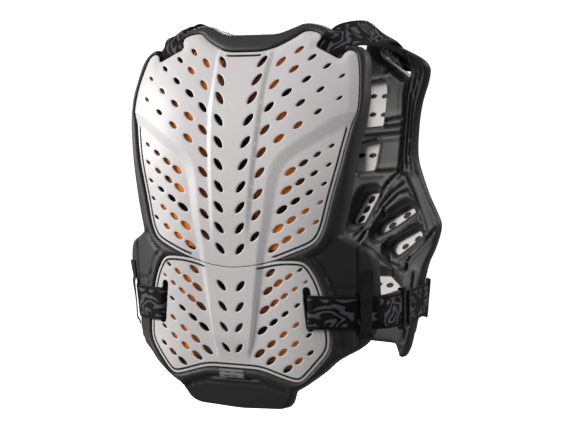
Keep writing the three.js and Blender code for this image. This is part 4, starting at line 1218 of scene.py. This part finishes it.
def rivet(side):
    x, z = rivetLook["x"], rivetLook["z"]
    skin = float(chestSkin(np.array(x), np.array(z)))
    slope = float(chestSkin(np.array(x + 4.0), np.array(z)) - chestSkin(np.array(x - 4.0), np.array(z)))
    parts = []
    for depth in (-1.0, 15.6):
        bpy.ops.object.select_all(action="DESELECT")
        bpy.ops.mesh.primitive_uv_sphere_add(segments=32, ring_count=16, radius=rivetLook["head"],
                                             location=(0, depth, 0), rotation=(math.pi / 2, 0, 0))
        cap = bpy.context.object
        cap.scale = (1, 1, 0.3)
        bpy.ops.object.transform_apply(location=True, rotation=True, scale=True)
        parts.append(cap)
    bpy.ops.mesh.primitive_cylinder_add(vertices=24, radius=rivetLook["shank"], depth=16.6,
                                        location=(0, 7.3, 0), rotation=(math.pi / 2, 0, 0))
    bpy.ops.object.transform_apply(location=True, rotation=True)
    parts.append(bpy.context.object)
    toFrame = Matrix.Translation(put(*np.zeros(3))) @ Matrix.Scale(0.001, 4)
    place = toFrame @ Matrix.Diagonal((side, 1, 1, 1)) @ Matrix.Translation((x, skin, z)) @ Matrix.Rotation(
        math.atan(slope / 8), 4, "Z")
    piece = joinUp("rivetRight" if side > 0 else "rivetLeft", parts, place)
    return dress(piece, ["rivet_right" if side > 0 else "rivet_left"], "rivet", 50)


for side in (1, -1):
    slider(side)
    hook(side)
    rivet(side)

# Label.
labelLook = {"x": -2.0, "z": -171.8, "wide": 33.0, "tall": 9.0, "lift": 2.3}


def makeLabel():
    u, v = np.meshgrid(np.linspace(-0.5, 0.5, 29), np.linspace(-0.5, 0.5, 11))
    x, z = labelLook["x"] + u.ravel() * labelLook["wide"], labelLook["z"] + v.ravel() * labelLook["tall"]
    rim = np.minimum(0.5 - np.abs(u.ravel()), (0.5 - np.abs(v.ravel())) * 0.34) * labelLook["wide"]
    near = backSkin(x, z) - labelLook["lift"] + quarter(rim, 0.5) + 0.15 * np.sin(x / 3.2)
    faces = []
    for j in range(10):
        for i in range(28):
            a = j * 29 + i
            faces += [(a, a + 1, a + 30), (a, a + 30, a + 29)]
    piece = sandwich("label", np.stack([x, z], 1), np.array(faces), near, near + 0.7)
    return dress(piece, ["label"], "label")


makeLabel()
print("fittings and label done")


# Stitches, one small thread loop copied along each seam.
stitchLook = {"long": 2.5, "wide": 1.9, "thick": 0.9, "pitch": 3.7}


def stitches(name, lines, surface):
    bpy.ops.object.select_all(action="DESELECT")
    bpy.ops.mesh.primitive_uv_sphere_add(segments=8, ring_count=6, radius=0.5)
    seed = bpy.context.object
    shape = np.array([v.co for v in seed.data.vertices])
    polygons = [tuple(p.vertices) for p in seed.data.polygons]
    bpy.data.objects.remove(seed)
    vertices, faces = [], []
    for line in lines:
        points = resample(line, stitchLook["pitch"], False)
        for a, b in zip(points[:-1], points[1:]):
            middle, along = (a + b) / 2, (b - a) / np.hypot(*(b - a))
            ends = [middle - along * 1.3, middle + along * 1.3]
            deep = [float(surface(p)) for p in ends]
            start = len(vertices)
            aside = np.array([-along[1], along[0]])
            for p in shape:
                flat = middle + along * p[2] * stitchLook["long"]
                flat = flat + aside * (p[0] + 0.3 * p[2]) * stitchLook["wide"]
                share = p[2] + 0.5
                y = deep[0] + (deep[1] - deep[0]) * share + p[1] * stitchLook["thick"]
                vertices.append((flat[0], y, flat[1]))
            faces += [tuple(start + i for i in f) for f in polygons]
    vertices = np.array(vertices)
    piece = newPiece(name, put(vertices[:, 0], vertices[:, 1], vertices[:, 2]), faces)
    bpy.context.view_layer.objects.active = piece
    piece.select_set(True)
    bpy.ops.object.mode_set(mode="EDIT")
    bpy.ops.mesh.select_all(action="SELECT")
    bpy.ops.mesh.normals_make_consistent(inside=False)
    bpy.ops.object.mode_set(mode="OBJECT")
    print(name, len(faces), "faces")
    return dress(piece, [], "thread", 80)


def stretches(loop, keep):
    # the parts of a loop where keep() holds, as open lines
    held = keep(loop) > 0.5
    made, run = [], []
    start = int(np.argmin(held))
    for k in range(len(loop) + 1):
        i = (start + k) % len(loop)
        if held[i] and k < len(loop):
            run.append(loop[i])
        elif run:
            made.append(np.array(run))
            run = []
    return [line for line in made if len(line) > 4] or [loop]


def seamDepth(p):
    flat = np.array([p])
    return backSkin(p[0], p[1]) - shellRise(flat)[0] + shellLook["seamDeep"] * 0.55


backSeams = stretches(inset(upperLoop, shellLook["seamIn"]), upperSeam)
backSeams += stretches(inset(lowerLoop, shellLook["seamIn"]), lowerSeam)
stitches("backStitches", backSeams, seamDepth)

# Stage and light.
stageLook = {"floor": -0.62, "radius": 6.0, "tall": 4.5, "bend": 1.2}


def makeStage():
    # a wide white bowl, so that every side of the object is seen against paper
    bpy.ops.object.select_all(action="DESELECT")
    bpy.ops.mesh.primitive_cylinder_add(vertices=96, radius=stageLook["radius"], depth=stageLook["tall"],
                                        location=(0, 0, stageLook["floor"] + stageLook["tall"] / 2))
    piece = bpy.context.object
    piece.name = "stageFloor"
    for up in (1, -1):
        bpy.ops.object.mode_set(mode="EDIT")
        bpy.ops.mesh.select_mode(type="FACE")
        bpy.ops.mesh.select_all(action="DESELECT")
        bpy.ops.object.mode_set(mode="OBJECT")
        for polygon in piece.data.polygons:
            polygon.select = polygon.normal.z * up > 0.5
        bpy.ops.object.mode_set(mode="EDIT")
        if up > 0:
            bpy.ops.mesh.delete(type="FACE")
        else:
            bpy.ops.mesh.bevel(offset=stageLook["bend"], segments=10, affect="EDGES")
        bpy.ops.object.mode_set(mode="OBJECT")
    paint = Finish("stage paper")
    tone = paint.noise(3, 2)
    paint.shader.inputs["Emission Strength"].default_value = 1.0
    paper = paint.mix(rgb(0.96, 0.96, 0.96), rgb(0.99, 0.99, 0.99), tone)
    finish = paint.done(Base_Color=paper, Emission_Color=paper, Roughness=0.9)
    piece.data.materials.append(finish)
    piece.visible_diffuse = False
    piece.visible_glossy = False


makeStage()


def lamp(name, azimuth, elevation, distance, size, power, tint=(1, 1, 1)):
    a, e = math.radians(azimuth), math.radians(elevation)
    way = Vector((math.sin(a) * math.cos(e), -math.cos(a) * math.cos(e), math.sin(e)))
    bpy.ops.object.light_add(type="AREA", location=aim + way * distance,
                             rotation=(-way).to_track_quat("-Z", "Y").to_euler())
    light = bpy.context.object
    light.name = name
    light.data.shape = "DISK"
    light.data.size = size
    light.data.energy = power
    light.data.color = tint


lamp("keyLamp", -62, 14, 2.2, 0.8, 43, (1.0, 0.985, 0.97))
lamp("sideLamp", 82, 20, 2.2, 0.6, 10, (0.97, 0.98, 1.0))
lamp("rimLamp", 140, 30, 2.2, 0.6, 12)
lamp("topLamp", -20, 70, 2.0, 0.6, 5)
lamp("frontLamp", 215, 20, 2.2, 0.8, 20)
world = bpy.data.worlds.new("studio")
bpy.context.scene.world = world
world.use_nodes = True
world.node_tree.nodes["Background"].inputs["Color"].default_value = (1, 1, 1, 1)
world.node_tree.nodes["Background"].inputs["Strength"].default_value = 0.2
print("stage and light done")
